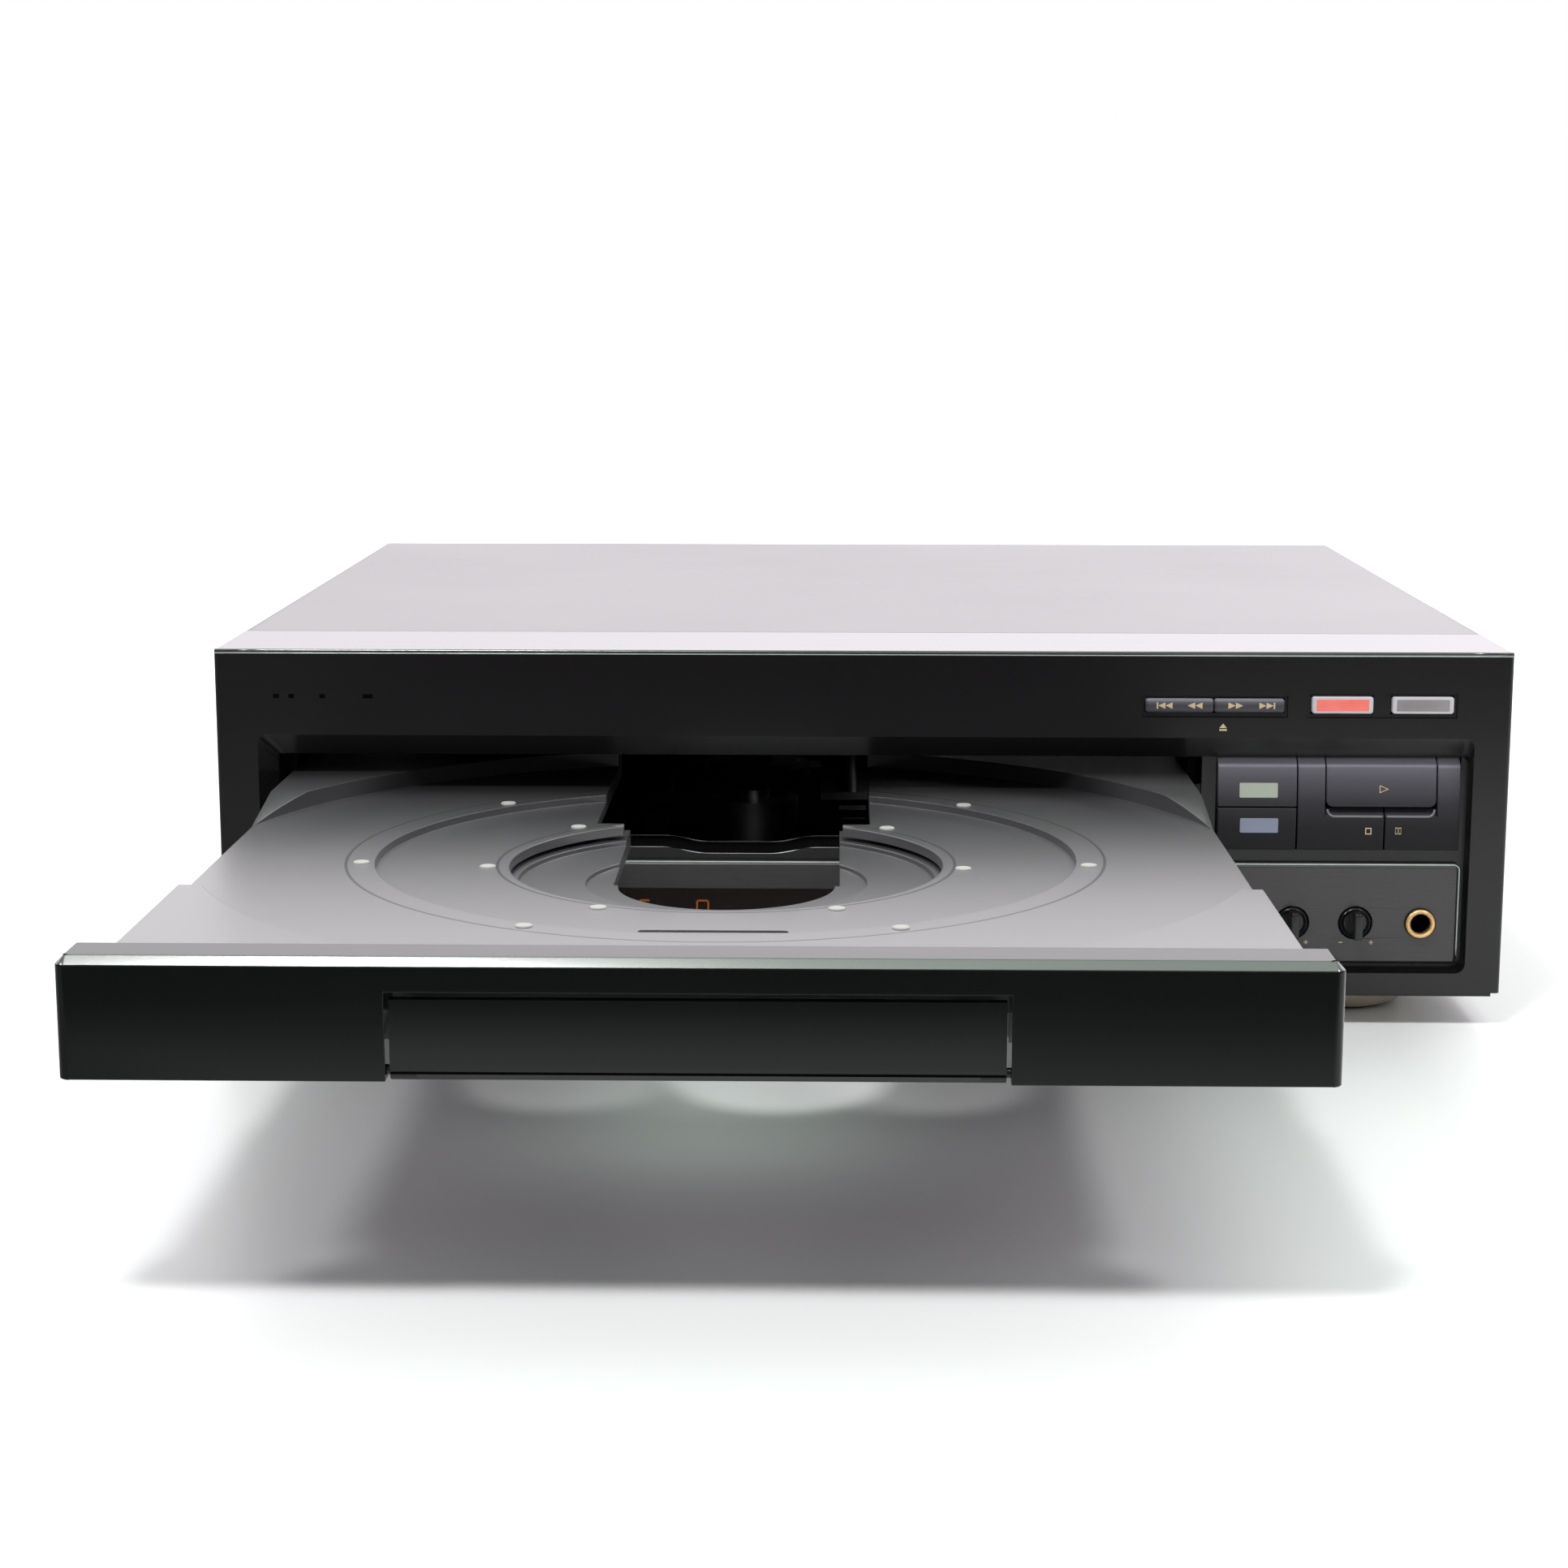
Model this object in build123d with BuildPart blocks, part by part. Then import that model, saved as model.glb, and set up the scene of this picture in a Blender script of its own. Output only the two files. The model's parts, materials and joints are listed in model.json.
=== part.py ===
from build123d import *
import math
import os

# A laserdisc player, full component width, with its large disc tray run out.
# Millimetres. X runs right as seen from the front, Y to the back, Z up from the floor.
# X = 0 is the middle of the body and Y = 0 is half way along the whole open length.

os.makedirs("parts", exist_ok=True)

# ---- driving dimensions ----
width = 420.0              # front panel, side to side
panel_top = 124.2          # top deck of the front panel above the floor
panel_bottom = 11.6
deck_depth = 47.0          # the panel's top deck, front to back
cover_top = 125.0
cover_rear = 348.5         # face of the front panel to the rear edge of the cover
jack_proud = 6.5           # phono jacks past the cover's rear edge
sheet = 1.2                # steel sheet
foot_height = 10.5

tray_travel = 272.0        # stroke of the large tray
tray_x = -39.9             # middle of the tray, left of the body's middle
door_set_back = 3.0        # the shut tray door and the keys sit this far behind the face
door_half = 150.2
door_z = (58.56, 88.4)
door_depth = 14.0
disc_behind_door = 171.2   # tray door's face to the middle of the disc
tray_plane = 77.7          # surface that a 300 mm disc lies over
plate_half = 146.7

flap_half = 72.0           # the small tray's flap
flap_z = (58.7, 78.4)
flap_travel = 130.0        # stroke of the small tray

# ---- places worked out from them ----
front_y = -(cover_rear + jack_proud + door_set_back - tray_travel) / 2


def back(distance):
    return front_y + distance


door_y = back(door_set_back - tray_travel)
disc_y = door_y + disc_behind_door
spindle_y = disc_y + tray_travel


# ---- helpers ----
def across(y):
    # a plane facing front: an extrusion from it runs forward, and its sketch reads x, z
    return Plane.XZ.offset(-y)


def block(x, y, z, mode=Mode.ADD):
    # x, y and z are pairs: low and high
    with Locations(((x[0] + x[1]) / 2, (y[0] + y[1]) / 2, (z[0] + z[1]) / 2)):
        Box(x[1] - x[0], y[1] - y[0], z[1] - z[0], mode=mode)


def post(x, y, z, radius, mode=Mode.ADD):
    with Locations((x, y, (z[0] + z[1]) / 2)):
        Cylinder(radius, z[1] - z[0], mode=mode)


def peg(x, y, z, radius, mode=Mode.ADD):
    # a round bar that runs front to back
    with Locations(Location((x, (y[0] + y[1]) / 2, z), (90, 0, 0))):
        Cylinder(radius, y[1] - y[0], mode=mode)


def axle(x, y, z, radius, mode=Mode.ADD):
    # a round bar that runs side to side
    with Locations(Location(((x[0] + x[1]) / 2, y, z), (0, 90, 0))):
        Cylinder(radius, x[1] - x[0], mode=mode)


def save(piece, label):
    piece.part.label = label
    export_step(piece.part, f"parts/{label}.step")


# ---- gear teeth ----
pressure = math.radians(20)
backlash = 0.07            # taken off each flank


def involute(radius, base):
    angle = math.acos(min(1.0, base / radius))
    return math.tan(angle) - angle


def gear_points(teeth, module, turn):
    # one tooth is centred on the direction `turn`, in radians
    pitch = teeth * module / 2
    base = pitch * math.cos(pressure)
    tip = pitch + 0.95 * module
    root = pitch - 1.2 * module
    points = []
    for tooth in range(teeth):
        centre = turn + 2 * math.pi * tooth / teeth
        flank = []
        for radius in (root, max(base, root + 0.05), pitch, tip):
            half = math.pi / (2 * teeth) - backlash / pitch
            half += involute(pitch, base) - involute(max(radius, base), base)
            flank.append((radius, half))
        for radius, half in flank:
            points.append((radius * math.cos(centre - half), radius * math.sin(centre - half)))
        for radius, half in reversed(flank):
            points.append((radius * math.cos(centre + half), radius * math.sin(centre + half)))
    return points


def toothed_wheel(x, y, z, teeth, module, turn):
    with BuildSketch(Plane((x, y, z[0]))) as wheel:
        with BuildLine():
            Polyline(*gear_points(teeth, module, turn), close=True)
        make_face()
    extrude(wheel.sketch, amount=z[1] - z[0])


def mating_turn(turn, teeth, other_teeth, direction):
    # the angle that puts a space of the second wheel round a tooth of the first,
    # where `direction` points from the first wheel to the second
    phase = ((direction - turn) * teeth / (2 * math.pi)) % 1
    return direction + math.pi - (0.5 - phase) * 2 * math.pi / other_teeth


def rack_points(pitch_x, side, y_span, module, phase_y):
    # teeth point to `side` (-1 left, +1 right); a space is centred on phase_y
    pitch = math.pi * module
    half = pitch / 4 - backlash
    rise = 0.95 * module
    fall = 1.2 * module
    slope = math.tan(pressure)
    first = math.ceil((y_span[0] - phase_y) / pitch + 0.5)
    last = math.floor((y_span[1] - phase_y) / pitch - 0.5)
    points = []
    for index in range(first, last):
        centre = phase_y + (index + 0.5) * pitch
        root_x = pitch_x - side * fall
        tip_x = pitch_x + side * rise
        points.append((root_x, centre - half - fall * slope))
        points.append((tip_x, centre - half + rise * slope))
        points.append((tip_x, centre + half - rise * slope))
        points.append((root_x, centre + half + fall * slope))
    return points


def rack(pitch_x, side, y_span, z, module, phase_y, back_x):
    points = rack_points(pitch_x, side, y_span, module, phase_y)
    points += [(points[-1][0], y_span[1]), (back_x, y_span[1])]
    points += [(back_x, y_span[0]), (points[0][0], y_span[0])]
    with BuildSketch(Plane.XY.offset(z[0])) as bar:
        with BuildLine():
            Polyline(*points, close=True)
        make_face()
    extrude(bar.sketch, amount=z[1] - z[0])


# ======================================================================
# Case
# ======================================================================
pan_half = 206.6
pan_y = (back(5), back(343))
foot_x = 163.5
front_foot_y = back(42)
rear_foot_y = back(306)
side_screw_y = (back(90), back(316))
side_screw_z = 19.0

with BuildPart() as chassis_base:
    block((-204.7, 204.7), pan_y, (foot_height, foot_height + sheet))
    block((-pan_half, pan_half), (back(deck_depth + 1), pan_y[1]), (foot_height, foot_height + sheet))
    for side in (-1, 1):
        flange = sorted((side * pan_half, side * (pan_half - sheet)))
        block(flange, (back(deck_depth + 1), pan_y[1]), (foot_height, 24))
    block((-pan_half, pan_half), (pan_y[1] - sheet, pan_y[1]), (foot_height, 22))
    for bead_y in (back(120), back(190), back(260)):
        block((-150, 90), (bead_y, bead_y + 6), (foot_height + sheet, foot_height + sheet + 1.5))
    with Locations((160, back(215), foot_height)):
        with GridLocations(9, 40, 7, 3):
            Box(3.2, 30, 4 * sheet, mode=Mode.SUBTRACT)
    for y in side_screw_y:
        axle((-pan_half - 1, pan_half + 1), y, side_screw_z, 2.05, Mode.SUBTRACT)
save(chassis_base, "chassis_base")

cover_half = 209.5
cover_y = (back(deck_depth), back(cover_rear))
with BuildPart() as top_cover:
    with BuildSketch(across(cover_y[1])):
        with BuildLine():
            outer = FilletPolyline((-cover_half, 12), (-cover_half, cover_top), (cover_half, cover_top),
                                   (cover_half, 12), radius=2.4)
            Line(outer @ 1, (cover_half - 1, 12))
            inner = FilletPolyline((cover_half - 1, 12), (cover_half - 1, cover_top - 1),
                                   (1 - cover_half, cover_top - 1), (1 - cover_half, 12), radius=1.4)
            Line(inner @ 1, outer @ 0)
        make_face()
    extrude(amount=cover_y[1] - cover_y[0])
    for side in (-1, 1):
        fold = sorted((side * (cover_half - 0.5), side * (cover_half - 9)))
        block(fold, (cover_y[1] - 1, cover_y[1]), (12, 26))
    for y in side_screw_y:
        axle((-cover_half - 1, cover_half + 1), y, side_screw_z, 2.05, Mode.SUBTRACT)
save(top_cover, "top_cover")

rear_y = back(344.2)
jack_z = (40, 62)
jack_x = [-176 + 17 * place for place in range(6)]
inlet_x = (150, 178)
inlet_z = (30, 52)
with BuildPart() as rear_panel:
    block((-pan_half, pan_half), (back(343), rear_y), (12.2, 122.8))
    for x in jack_x:
        for z in jack_z:
            peg(x, (back(342), back(346)), z, 5.2, Mode.SUBTRACT)
    block(inlet_x, (back(342), back(346)), inlet_z, Mode.SUBTRACT)
    with Locations(Location((90, back(343.6), 88), (90, 0, 0))):
        with GridLocations(8, 26, 20, 2):
            Box(3.4, 20, 4, mode=Mode.SUBTRACT)
save(rear_panel, "rear_panel")

foot_radius = 25.5


def foot(x, y, radius):
    with BuildSketch(Plane.XZ) as half:
        with BuildLine():
            Polyline((0, 1.0), (radius - 5, 1.0), (radius - 3, 2.6))
            ThreePointArc((radius - 3, 2.6), (radius - 0.9, 5.2), (radius, foot_height - 1.4))
            Polyline((radius, foot_height - 1.4), (radius, foot_height), (0, foot_height), (0, 1.0))
        make_face()
    with Locations((x, y)):
        add(Solid.revolve(half.sketch.face(), 360, Axis.Z))


with BuildPart() as front_feet:
    for side in (-1, 1):
        foot(side * foot_x, front_foot_y, foot_radius)
save(front_feet, "front_feet")

with BuildPart() as rear_feet:
    for side in (-1, 1):
        foot(side * foot_x, rear_foot_y, 17)
save(rear_feet, "rear_feet")

with BuildPart() as foot_pads:
    for side in (-1, 1):
        post(side * foot_x, front_foot_y, (0, 1.0), foot_radius - 7)
        post(side * foot_x, rear_foot_y, (0, 1.0), 10)
save(foot_pads, "foot_pads")

# ======================================================================
# Front panel: a moulding with a recess that holds the tray slot, the keys and the fascia
# ======================================================================
recess_depth = 5.9
recess_mouth = (-196.5, 198.2, 18.2, 96.2)     # at the face: left, right, bottom, top
recess_floor = (-190.9, 197.6, 18.8, 89.1)     # at the bottom of the recess
slot_x = (-190.9, 111.3)
slot_z = (58.2, 89.1)
slot_floor_rear = 26.0
keys_x = (116.0, 195.5)
keys_z = (58.3, 89.1)
fascia_z = (20.3, 54.2)
window_x = (-125.0, 45.0)
window_z = (24.6, 44.9)
knob_z = 34.35
knob_x = {"echo": 141.8, "mic": 162.5}
jack_centre_x = 183.6
rocker_x = (91.8, 136.5)
rocker_z = (104.5, 109.0)
side_keys_x = ((145.3, 165.0), (171.1, 190.9))
side_keys_z = (104.3, 109.9)
sensor_x = (-190.0, -185.0, -174.9, -160.1)
sensor_width = (1.9, 1.9, 1.9, 3.2)
sensor_z = (108.2, 109.6)
power_x = (-178.0, -158.0)
power_z = (30.0, 39.0)
dip_depth = 2.1


def rectangle_span(left, right, low, high):
    with Locations(((left + right) / 2, (low + high) / 2)):
        Rectangle(right - left, high - low)


with BuildPart() as front_panel:
    block((-width / 2, width / 2), (back(0), back(deck_depth)), (panel_bottom, panel_top))
    fillet(front_panel.edges().filter_by(Axis.Z).group_by(Axis.Y)[0], 1.6)
    fillet(front_panel.edges().filter_by(Axis.X).group_by(Axis.Y)[0].sort_by(Axis.Z)[-1], 1.2)
    block((-207.4, 207.4), (back(3), back(deck_depth + 1)), (13.8, 121.6), Mode.SUBTRACT)
    block((-207.2, 207.2), (back(0.9), back(deck_depth)), (10.3, 13.8))
    block((-205, 205), (back(3.2), back(deck_depth + 1)), (10.2, 13.9), Mode.SUBTRACT)
    # walls of the recess, with the mouth wider than the floor
    block((-200.5, 200.8), (back(2.5), back(8.4)), (15.6, 99.2))
    with BuildSketch(across(back(recess_depth))) as floor_outline:
        rectangle_span(*recess_floor)
        fillet(floor_outline.vertices(), 2.4)
    with BuildSketch(across(back(-0.01))) as mouth_outline:
        rectangle_span(*recess_mouth)
        fillet(mouth_outline.vertices(), 3.2)
    loft(mode=Mode.SUBTRACT)
    # tray slot, its floor and the dip in the floor
    block(slot_x, (back(5), back(9)), slot_z, Mode.SUBTRACT)
    block((slot_x[0] - 2, slot_x[1] + 2), (back(8), back(slot_floor_rear)), (55.4, slot_z[0]))
    with BuildSketch(across(back(slot_floor_rear + 0.1))):
        with BuildLine():
            low = slot_z[0] - dip_depth
            Bezier((tray_x - 26, slot_z[0]), (tray_x - 18, slot_z[0]), (tray_x - 18, low), (tray_x - 10, low))
            Line((tray_x - 10, low), (tray_x + 10, low))
            Bezier((tray_x + 10, low), (tray_x + 18, low), (tray_x + 18, slot_z[0]), (tray_x + 26, slot_z[0]))
            Polyline((tray_x + 26, slot_z[0]), (tray_x + 26, slot_z[0] + 1),
                     (tray_x - 26, slot_z[0] + 1), (tray_x - 26, slot_z[0]))
        make_face()
    extrude(amount=slot_floor_rear - 5, mode=Mode.SUBTRACT)
    # apertures for the keys, the display, the knobs and the jack
    block(keys_x, (back(5), back(9)), keys_z, Mode.SUBTRACT)
    block((window_x[0] - 2, window_x[1] + 2), (back(5), back(9)), (22.6, 47), Mode.SUBTRACT)
    for x in knob_x.values():
        peg(x, (back(5), back(9)), knob_z, 5.8, Mode.SUBTRACT)
    peg(jack_centre_x, (back(5), back(9)), knob_z, 4.6, Mode.SUBTRACT)
    block((power_x[0] - 0.4, power_x[1] + 0.4), (back(5), back(9)), (power_z[0] - 0.4, power_z[1] + 0.4),
          Mode.SUBTRACT)
    block((rocker_x[0] - 1.2, rocker_x[1] + 1.2), (back(-1), back(1)), (102.9, 110.1), Mode.SUBTRACT)
    block((rocker_x[0] - 0.3, rocker_x[1] + 0.3), (back(-1), back(4)),
          (rocker_z[0] - 0.3, rocker_z[1] + 0.3), Mode.SUBTRACT)
    block((144.0, 192.2), (back(-1), back(0.8)), (102.8, 111.0), Mode.SUBTRACT)
    for span in side_keys_x:
        block((span[0] - 0.3, span[1] + 0.3), (back(-1), back(4)),
              (side_keys_z[0] - 0.3, side_keys_z[1] + 0.3), Mode.SUBTRACT)
    for x, wide in zip(sensor_x, sensor_width):
        block((x - wide / 2, x + wide / 2), (back(-1), back(1.2)), sensor_z, Mode.SUBTRACT)
save(front_panel, "front_panel")

with BuildPart() as sensor_windows:
    for x, wide in zip(sensor_x, sensor_width):
        block((x - wide / 2, x + wide / 2), (back(0.15), back(1.2)), sensor_z)
save(sensor_windows, "sensor_windows")

fascia_x = (-189.6, 196.2)
with BuildPart() as lower_panel:
    block(fascia_x, (back(door_set_back), back(recess_depth)), fascia_z)
    fillet(lower_panel.edges().filter_by(Axis.Y), 2.0)
    front_edges = lower_panel.faces().sort_by(Axis.Y)[0].edges()
    chamfer(front_edges, 1.2)
    block(window_x, (back(2), back(7)), window_z, Mode.SUBTRACT)
    for x in knob_x.values():
        peg(x, (back(2), back(7)), knob_z, 5.5, Mode.SUBTRACT)
    peg(jack_centre_x, (back(2), back(7)), knob_z, 4.5, Mode.SUBTRACT)
    block((power_x[0] - 0.4, power_x[1] + 0.4), (back(2), back(7)), (power_z[0] - 0.4, power_z[1] + 0.4),
          Mode.SUBTRACT)
save(lower_panel, "lower_panel")

with BuildPart() as display_window:
    block(window_x, (back(door_set_back + 0.1), back(recess_depth)), window_z)
save(display_window, "display_window")

with BuildPart() as display_tube:
    block((-112, 32), (back(9.5), back(16)), (26, 43.5))
    fillet(display_tube.edges().filter_by(Axis.Y), 1.5)
save(display_tube, "display_tube")

# ======================================================================
# Keys
# ======================================================================
key_face = back(door_set_back)
key_rear = back(11.5)
key_bevel = 2.6
board_y = back(24)


def key_outline(points):
    # a cap drawn by its outline in x, z
    with BuildSketch(across(key_rear)) as outline:
        with BuildLine():
            Polyline(*points, close=True)
        make_face()
    return extrude(outline.sketch, amount=key_rear - key_face)


def stem(x, z, y_from):
    block((x - 2.2, x + 2.2), (y_from, board_y - 3.2), (z - 2.2, z + 2.2))


def front_top_edges(piece, above):
    edges = piece.edges().filter_by(Axis.X).group_by(Axis.Y)[0]
    return [edge for edge in edges if edge.center().Z > above]


with BuildPart() as disc_key:
    key_outline([(116.4, 73.0), (142.1, 73.0), (142.1, 89.0), (116.4, 89.0)])
    chamfer(front_top_edges(disc_key, 80), key_bevel)
    stem(129, 80, key_rear)
save(disc_key, "disc_key")

with BuildPart() as small_disc_key:
    key_outline([(116.4, 58.7), (142.1, 58.7), (142.1, 72.6), (116.4, 72.6)])
    stem(129, 65.6, key_rear)
save(small_disc_key, "small_disc_key")

with BuildPart() as play_key:
    key_outline([(151.7, 73.0), (187.4, 73.0), (187.4, 89.0), (151.7, 89.0)])
    chamfer(front_top_edges(play_key, 80), key_bevel)
    stem(169.6, 80, key_rear)
save(play_key, "play_key")

with BuildPart() as stop_key:
    key_outline([(142.5, 58.7), (170.6, 58.7), (170.6, 72.4), (151.3, 72.4), (151.3, 89.0), (142.5, 89.0)])
    chamfer(front_top_edges(stop_key, 70), key_bevel)
    stem(147, 66, key_rear)
save(stop_key, "stop_key")

with BuildPart() as pause_key:
    key_outline([(171.0, 58.7), (195.1, 58.7), (195.1, 89.0), (187.8, 89.0), (187.8, 72.4), (171.0, 72.4)])
    chamfer(front_top_edges(pause_key, 70), key_bevel)
    stem(191, 66, key_rear)
save(pause_key, "pause_key")


def long_key(x, z, face):
    # a bar-shaped key, whose front edges are rounded over afterwards
    with BuildSketch(across(back(7))) as outline:
        rectangle_span(x[0], x[1], z[0], z[1])
    extrude(outline.sketch, amount=back(7) - face)


rocker_split = 113.8
rocker_halves = {"skip_back_key": (rocker_x[0], rocker_split - 0.15),
                 "skip_forward_key": (rocker_split + 0.15, rocker_x[1])}
for label, span in rocker_halves.items():
    with BuildPart() as skip_key:
        long_key(span, rocker_z, back(-1.4))
        fillet(skip_key.edges().filter_by(Axis.X).group_by(Axis.Y)[0], 1.1)
        stem((span[0] + span[1]) / 2, 106.75, back(7))
    save(skip_key, label)

for label, span in zip(("side_one_key", "side_two_key"), side_keys_x):
    with BuildPart() as side_key:
        long_key(span, side_keys_z, back(-1.0))
        fillet(side_key.faces().sort_by(Axis.Y)[0].edges(), 0.9)
        stem((span[0] + span[1]) / 2, 107.1, back(7))
    save(side_key, label)

with BuildPart() as power_key:
    block(power_x, (back(1.2), back(11.5)), power_z)
    chamfer(power_key.faces().sort_by(Axis.Y)[0].edges(), 0.8)
    stem((power_x[0] + power_x[1]) / 2, 34.5, key_rear)
save(power_key, "power_key")

# ======================================================================
# Knobs and jack
# ======================================================================
knob_radius = 5.2
for name, x in knob_x.items():
    with BuildPart() as knob:
        peg(x, (back(3.4), back(10)), knob_z, knob_radius)
        block((x - 1.6, x + 1.6), (back(-3.6), back(4)), (knob_z - 4.6, knob_z + 4.6))
        fillet(knob.faces().sort_by(Axis.Y)[0].edges(), 0.7)
        peg(x, (back(10), back(16)), knob_z, 2.95)
    save(knob, "echo_knob" if name == "echo" else "mic_knob")

with BuildPart() as control_pots:
    for x in knob_x.values():
        block((x - 5.5, x + 5.5), (back(16.3), board_y), (knob_z - 5.5, knob_z + 5.5))
save(control_pots, "control_pots")

jack_bore = 3.25
with BuildPart() as mic_jack:
    peg(jack_centre_x, (back(1.9), back(2.96)), knob_z, 5.1)
    fillet(mic_jack.faces().sort_by(Axis.Y)[0].edges(), 0.5)
    peg(jack_centre_x, (back(2.96), back(9)), knob_z, 4.3)
    block((jack_centre_x - 7, jack_centre_x + 7), (back(9), board_y), (knob_z - 7, knob_z + 7))
    peg(jack_centre_x, (back(1), back(20)), knob_z, jack_bore, Mode.SUBTRACT)
save(mic_jack, "mic_jack")

with BuildPart() as front_board:
    block((114, 200), (board_y, board_y + 1.6), (24, 116))
    for x, z in ((129, 80), (129, 65.6), (147, 66), (169.6, 80), (191, 66)):
        block((x - 3, x + 3), (board_y - 1.5, board_y), (z - 3, z + 3))
save(front_board, "front_board")

with BuildPart() as display_board:
    block((-186, 108), (back(16), back(17.6)), (22, 50))
    block((power_x[0] + 3, power_x[1] - 3), (back(23.7), back(28.4)), (26, 41))
    block((power_x[0] + 3, power_x[1] - 3), (back(17.6), back(23.7)), (24, 28))
    block((-172, -164), (back(15), back(18)), (31, 38), Mode.SUBTRACT)
save(display_board, "display_board")

# ======================================================================
# Large tray
# ======================================================================
tray_front = door_y + door_depth - disc_y      # measured from the middle of the disc
tray_rear = 158.0
corner_from = -53.0
ramp_from = 38.0
ramp_to = 68.0
corner_top = 79.5
rear_top = 83.0
plate_under = 72.2
disc_wall = 151.2
small_recess_radius = 101.5
small_recess_z = 75.35
hole_radius = 63.0
skirt_z = 62.5


def at_disc(z):
    return Plane((tray_x, disc_y, z))


def tray_outline(low, high, half):
    with Locations((0, (low + high) / 2)):
        Rectangle(2 * half, high - low)


with BuildPart() as ld_tray:
    # plate, a little wider at its front corners
    with BuildSketch(at_disc(plate_under)):
        tray_outline(tray_front, tray_rear, plate_half)
        tray_outline(tray_front, corner_from, plate_half + 1.6)
    extrude(amount=tray_plane - plate_under)
    # front corners stand up outside the disc's edge
    with BuildSketch(at_disc(tray_plane)):
        tray_outline(tray_front, corner_from, plate_half + 1.6)
        Circle(disc_wall, mode=Mode.SUBTRACT)
    extrude(amount=corner_top - tray_plane)
    # rear corners rise on a ramp to a wall that follows the disc
    with BuildSketch(at_disc(tray_plane)):
        tray_outline(ramp_from, tray_rear, plate_half)
        Circle(disc_wall, mode=Mode.SUBTRACT)
    extrude(amount=rear_top - tray_plane)
    ramp_rise = rear_top - tray_plane
    with BuildSketch(Plane.YZ.offset(tray_x - plate_half - 5)):
        with BuildLine():
            Polyline((disc_y + ramp_from, tray_plane), (disc_y + ramp_to, rear_top),
                     (disc_y + ramp_to, rear_top + 1), (disc_y + ramp_from - 1, rear_top + 1),
                     (disc_y + ramp_from - 1, tray_plane), close=True)
        make_face()
    extrude(amount=2 * plate_half + 10, mode=Mode.SUBTRACT)
    # recess for 200 mm discs, with a locating groove near its front
    with BuildSketch(at_disc(small_recess_z)):
        Circle(small_recess_radius)
    extrude(amount=10, mode=Mode.SUBTRACT)
    with BuildSketch(at_disc(small_recess_z - 0.8)):
        with Locations((0, -88)):
            SlotOverall(39.5, 3)
    extrude(amount=2, mode=Mode.SUBTRACT)
    # way through to the small tray, and the rear slot for the spindle and pick-up
    with BuildSketch(at_disc(plate_under - 1)):
        Circle(hole_radius)
    extrude(amount=10, mode=Mode.SUBTRACT)
    with BuildSketch(at_disc(plate_under - 1)) as rear_slot:
        tray_outline(30, 60, 34)
        tray_outline(56.5, tray_rear + 1, 42.5)
    extrude(amount=15, mode=Mode.SUBTRACT)
    # bevel down into the hole, left off where the rear slot meets it
    with BuildSketch(at_disc(small_recess_z - 1.6)):
        Circle(hole_radius - 0.05)
    with BuildSketch(at_disc(small_recess_z + 0.01)):
        Circle(hole_radius + 1.6)
    loft(mode=Mode.SUBTRACT)
    # skirts along the sides ride in the frame
    for side in (-1, 1):
        skirt = sorted((tray_x + side * 145.2, tray_x + side * 142.4))
        block(skirt, (disc_y - 140, disc_y + tray_rear), (skirt_z, plate_under))
    # ribs across the underside; on the right they stop short of the rack wheel
    for rib_y, right_end in ((tray_front + 1.5, 120), (-120, 94), (-95, 94)):
        for side, end in ((-1, 120), (1, right_end)):
            rib = sorted((tray_x + side * 73, tray_x + side * end))
            block(rib, (disc_y + rib_y, disc_y + rib_y + 2), (66, plate_under))
save(ld_tray, "ld_tray")

with BuildPart() as tray_channels:
    # channels under the plate carry the small tray
    for side in (-1, 1):
        web = sorted((tray_x + side * 70.2, tray_x + side * 73))
        lip = sorted((tray_x + side * 66.6, tray_x + side * 73))
        block(web, (disc_y - 150, disc_y + 76), (63.0, plate_under))
        block(lip, (disc_y - 150, disc_y + 76), (63.0, 64.6))
save(tray_channels, "tray_channels")

pad_radius = 2.35
outer_ring = 105.3
inner_ring = 69.3
outer_angles = (81.8, 136.5, 27.7)
inner_angles = (82.6, 136.5, 27.8)


def pads(ring, angles, z):
    for angle in angles:
        for side in (-1, 1):
            x = tray_x + side * ring * math.sin(math.radians(angle))
            y = disc_y - ring * math.cos(math.radians(angle))
            post(x, y, (z, z + 0.5), pad_radius)


with BuildPart() as outer_pads:
    pads(outer_ring, outer_angles, tray_plane)
save(outer_pads, "outer_pads")

with BuildPart() as inner_pads:
    pads(inner_ring, inner_angles, small_recess_z)
save(inner_pads, "inner_pads")

# ---- the rack under the tray and the wheel train that drives it ----
rack_module = 1.5
wheel_teeth = 16
wheel_x = tray_x + 110.0
wheel_y = back(50)
rack_pitch_x = wheel_x + rack_module * wheel_teeth / 2
rack_y = (disc_y - 134, disc_y + tray_rear - 0.5)

with BuildPart() as tray_rack:
    rack(rack_pitch_x, -1, rack_y, (64.0, plate_under), rack_module, wheel_y, rack_pitch_x + 6.5)
save(tray_rack, "tray_rack")

# ---- door ----
pin_z = 61.0
pin_y = door_y + 2.4
pin_radius = 1.2
opening_half = flap_half + 1.1

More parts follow.
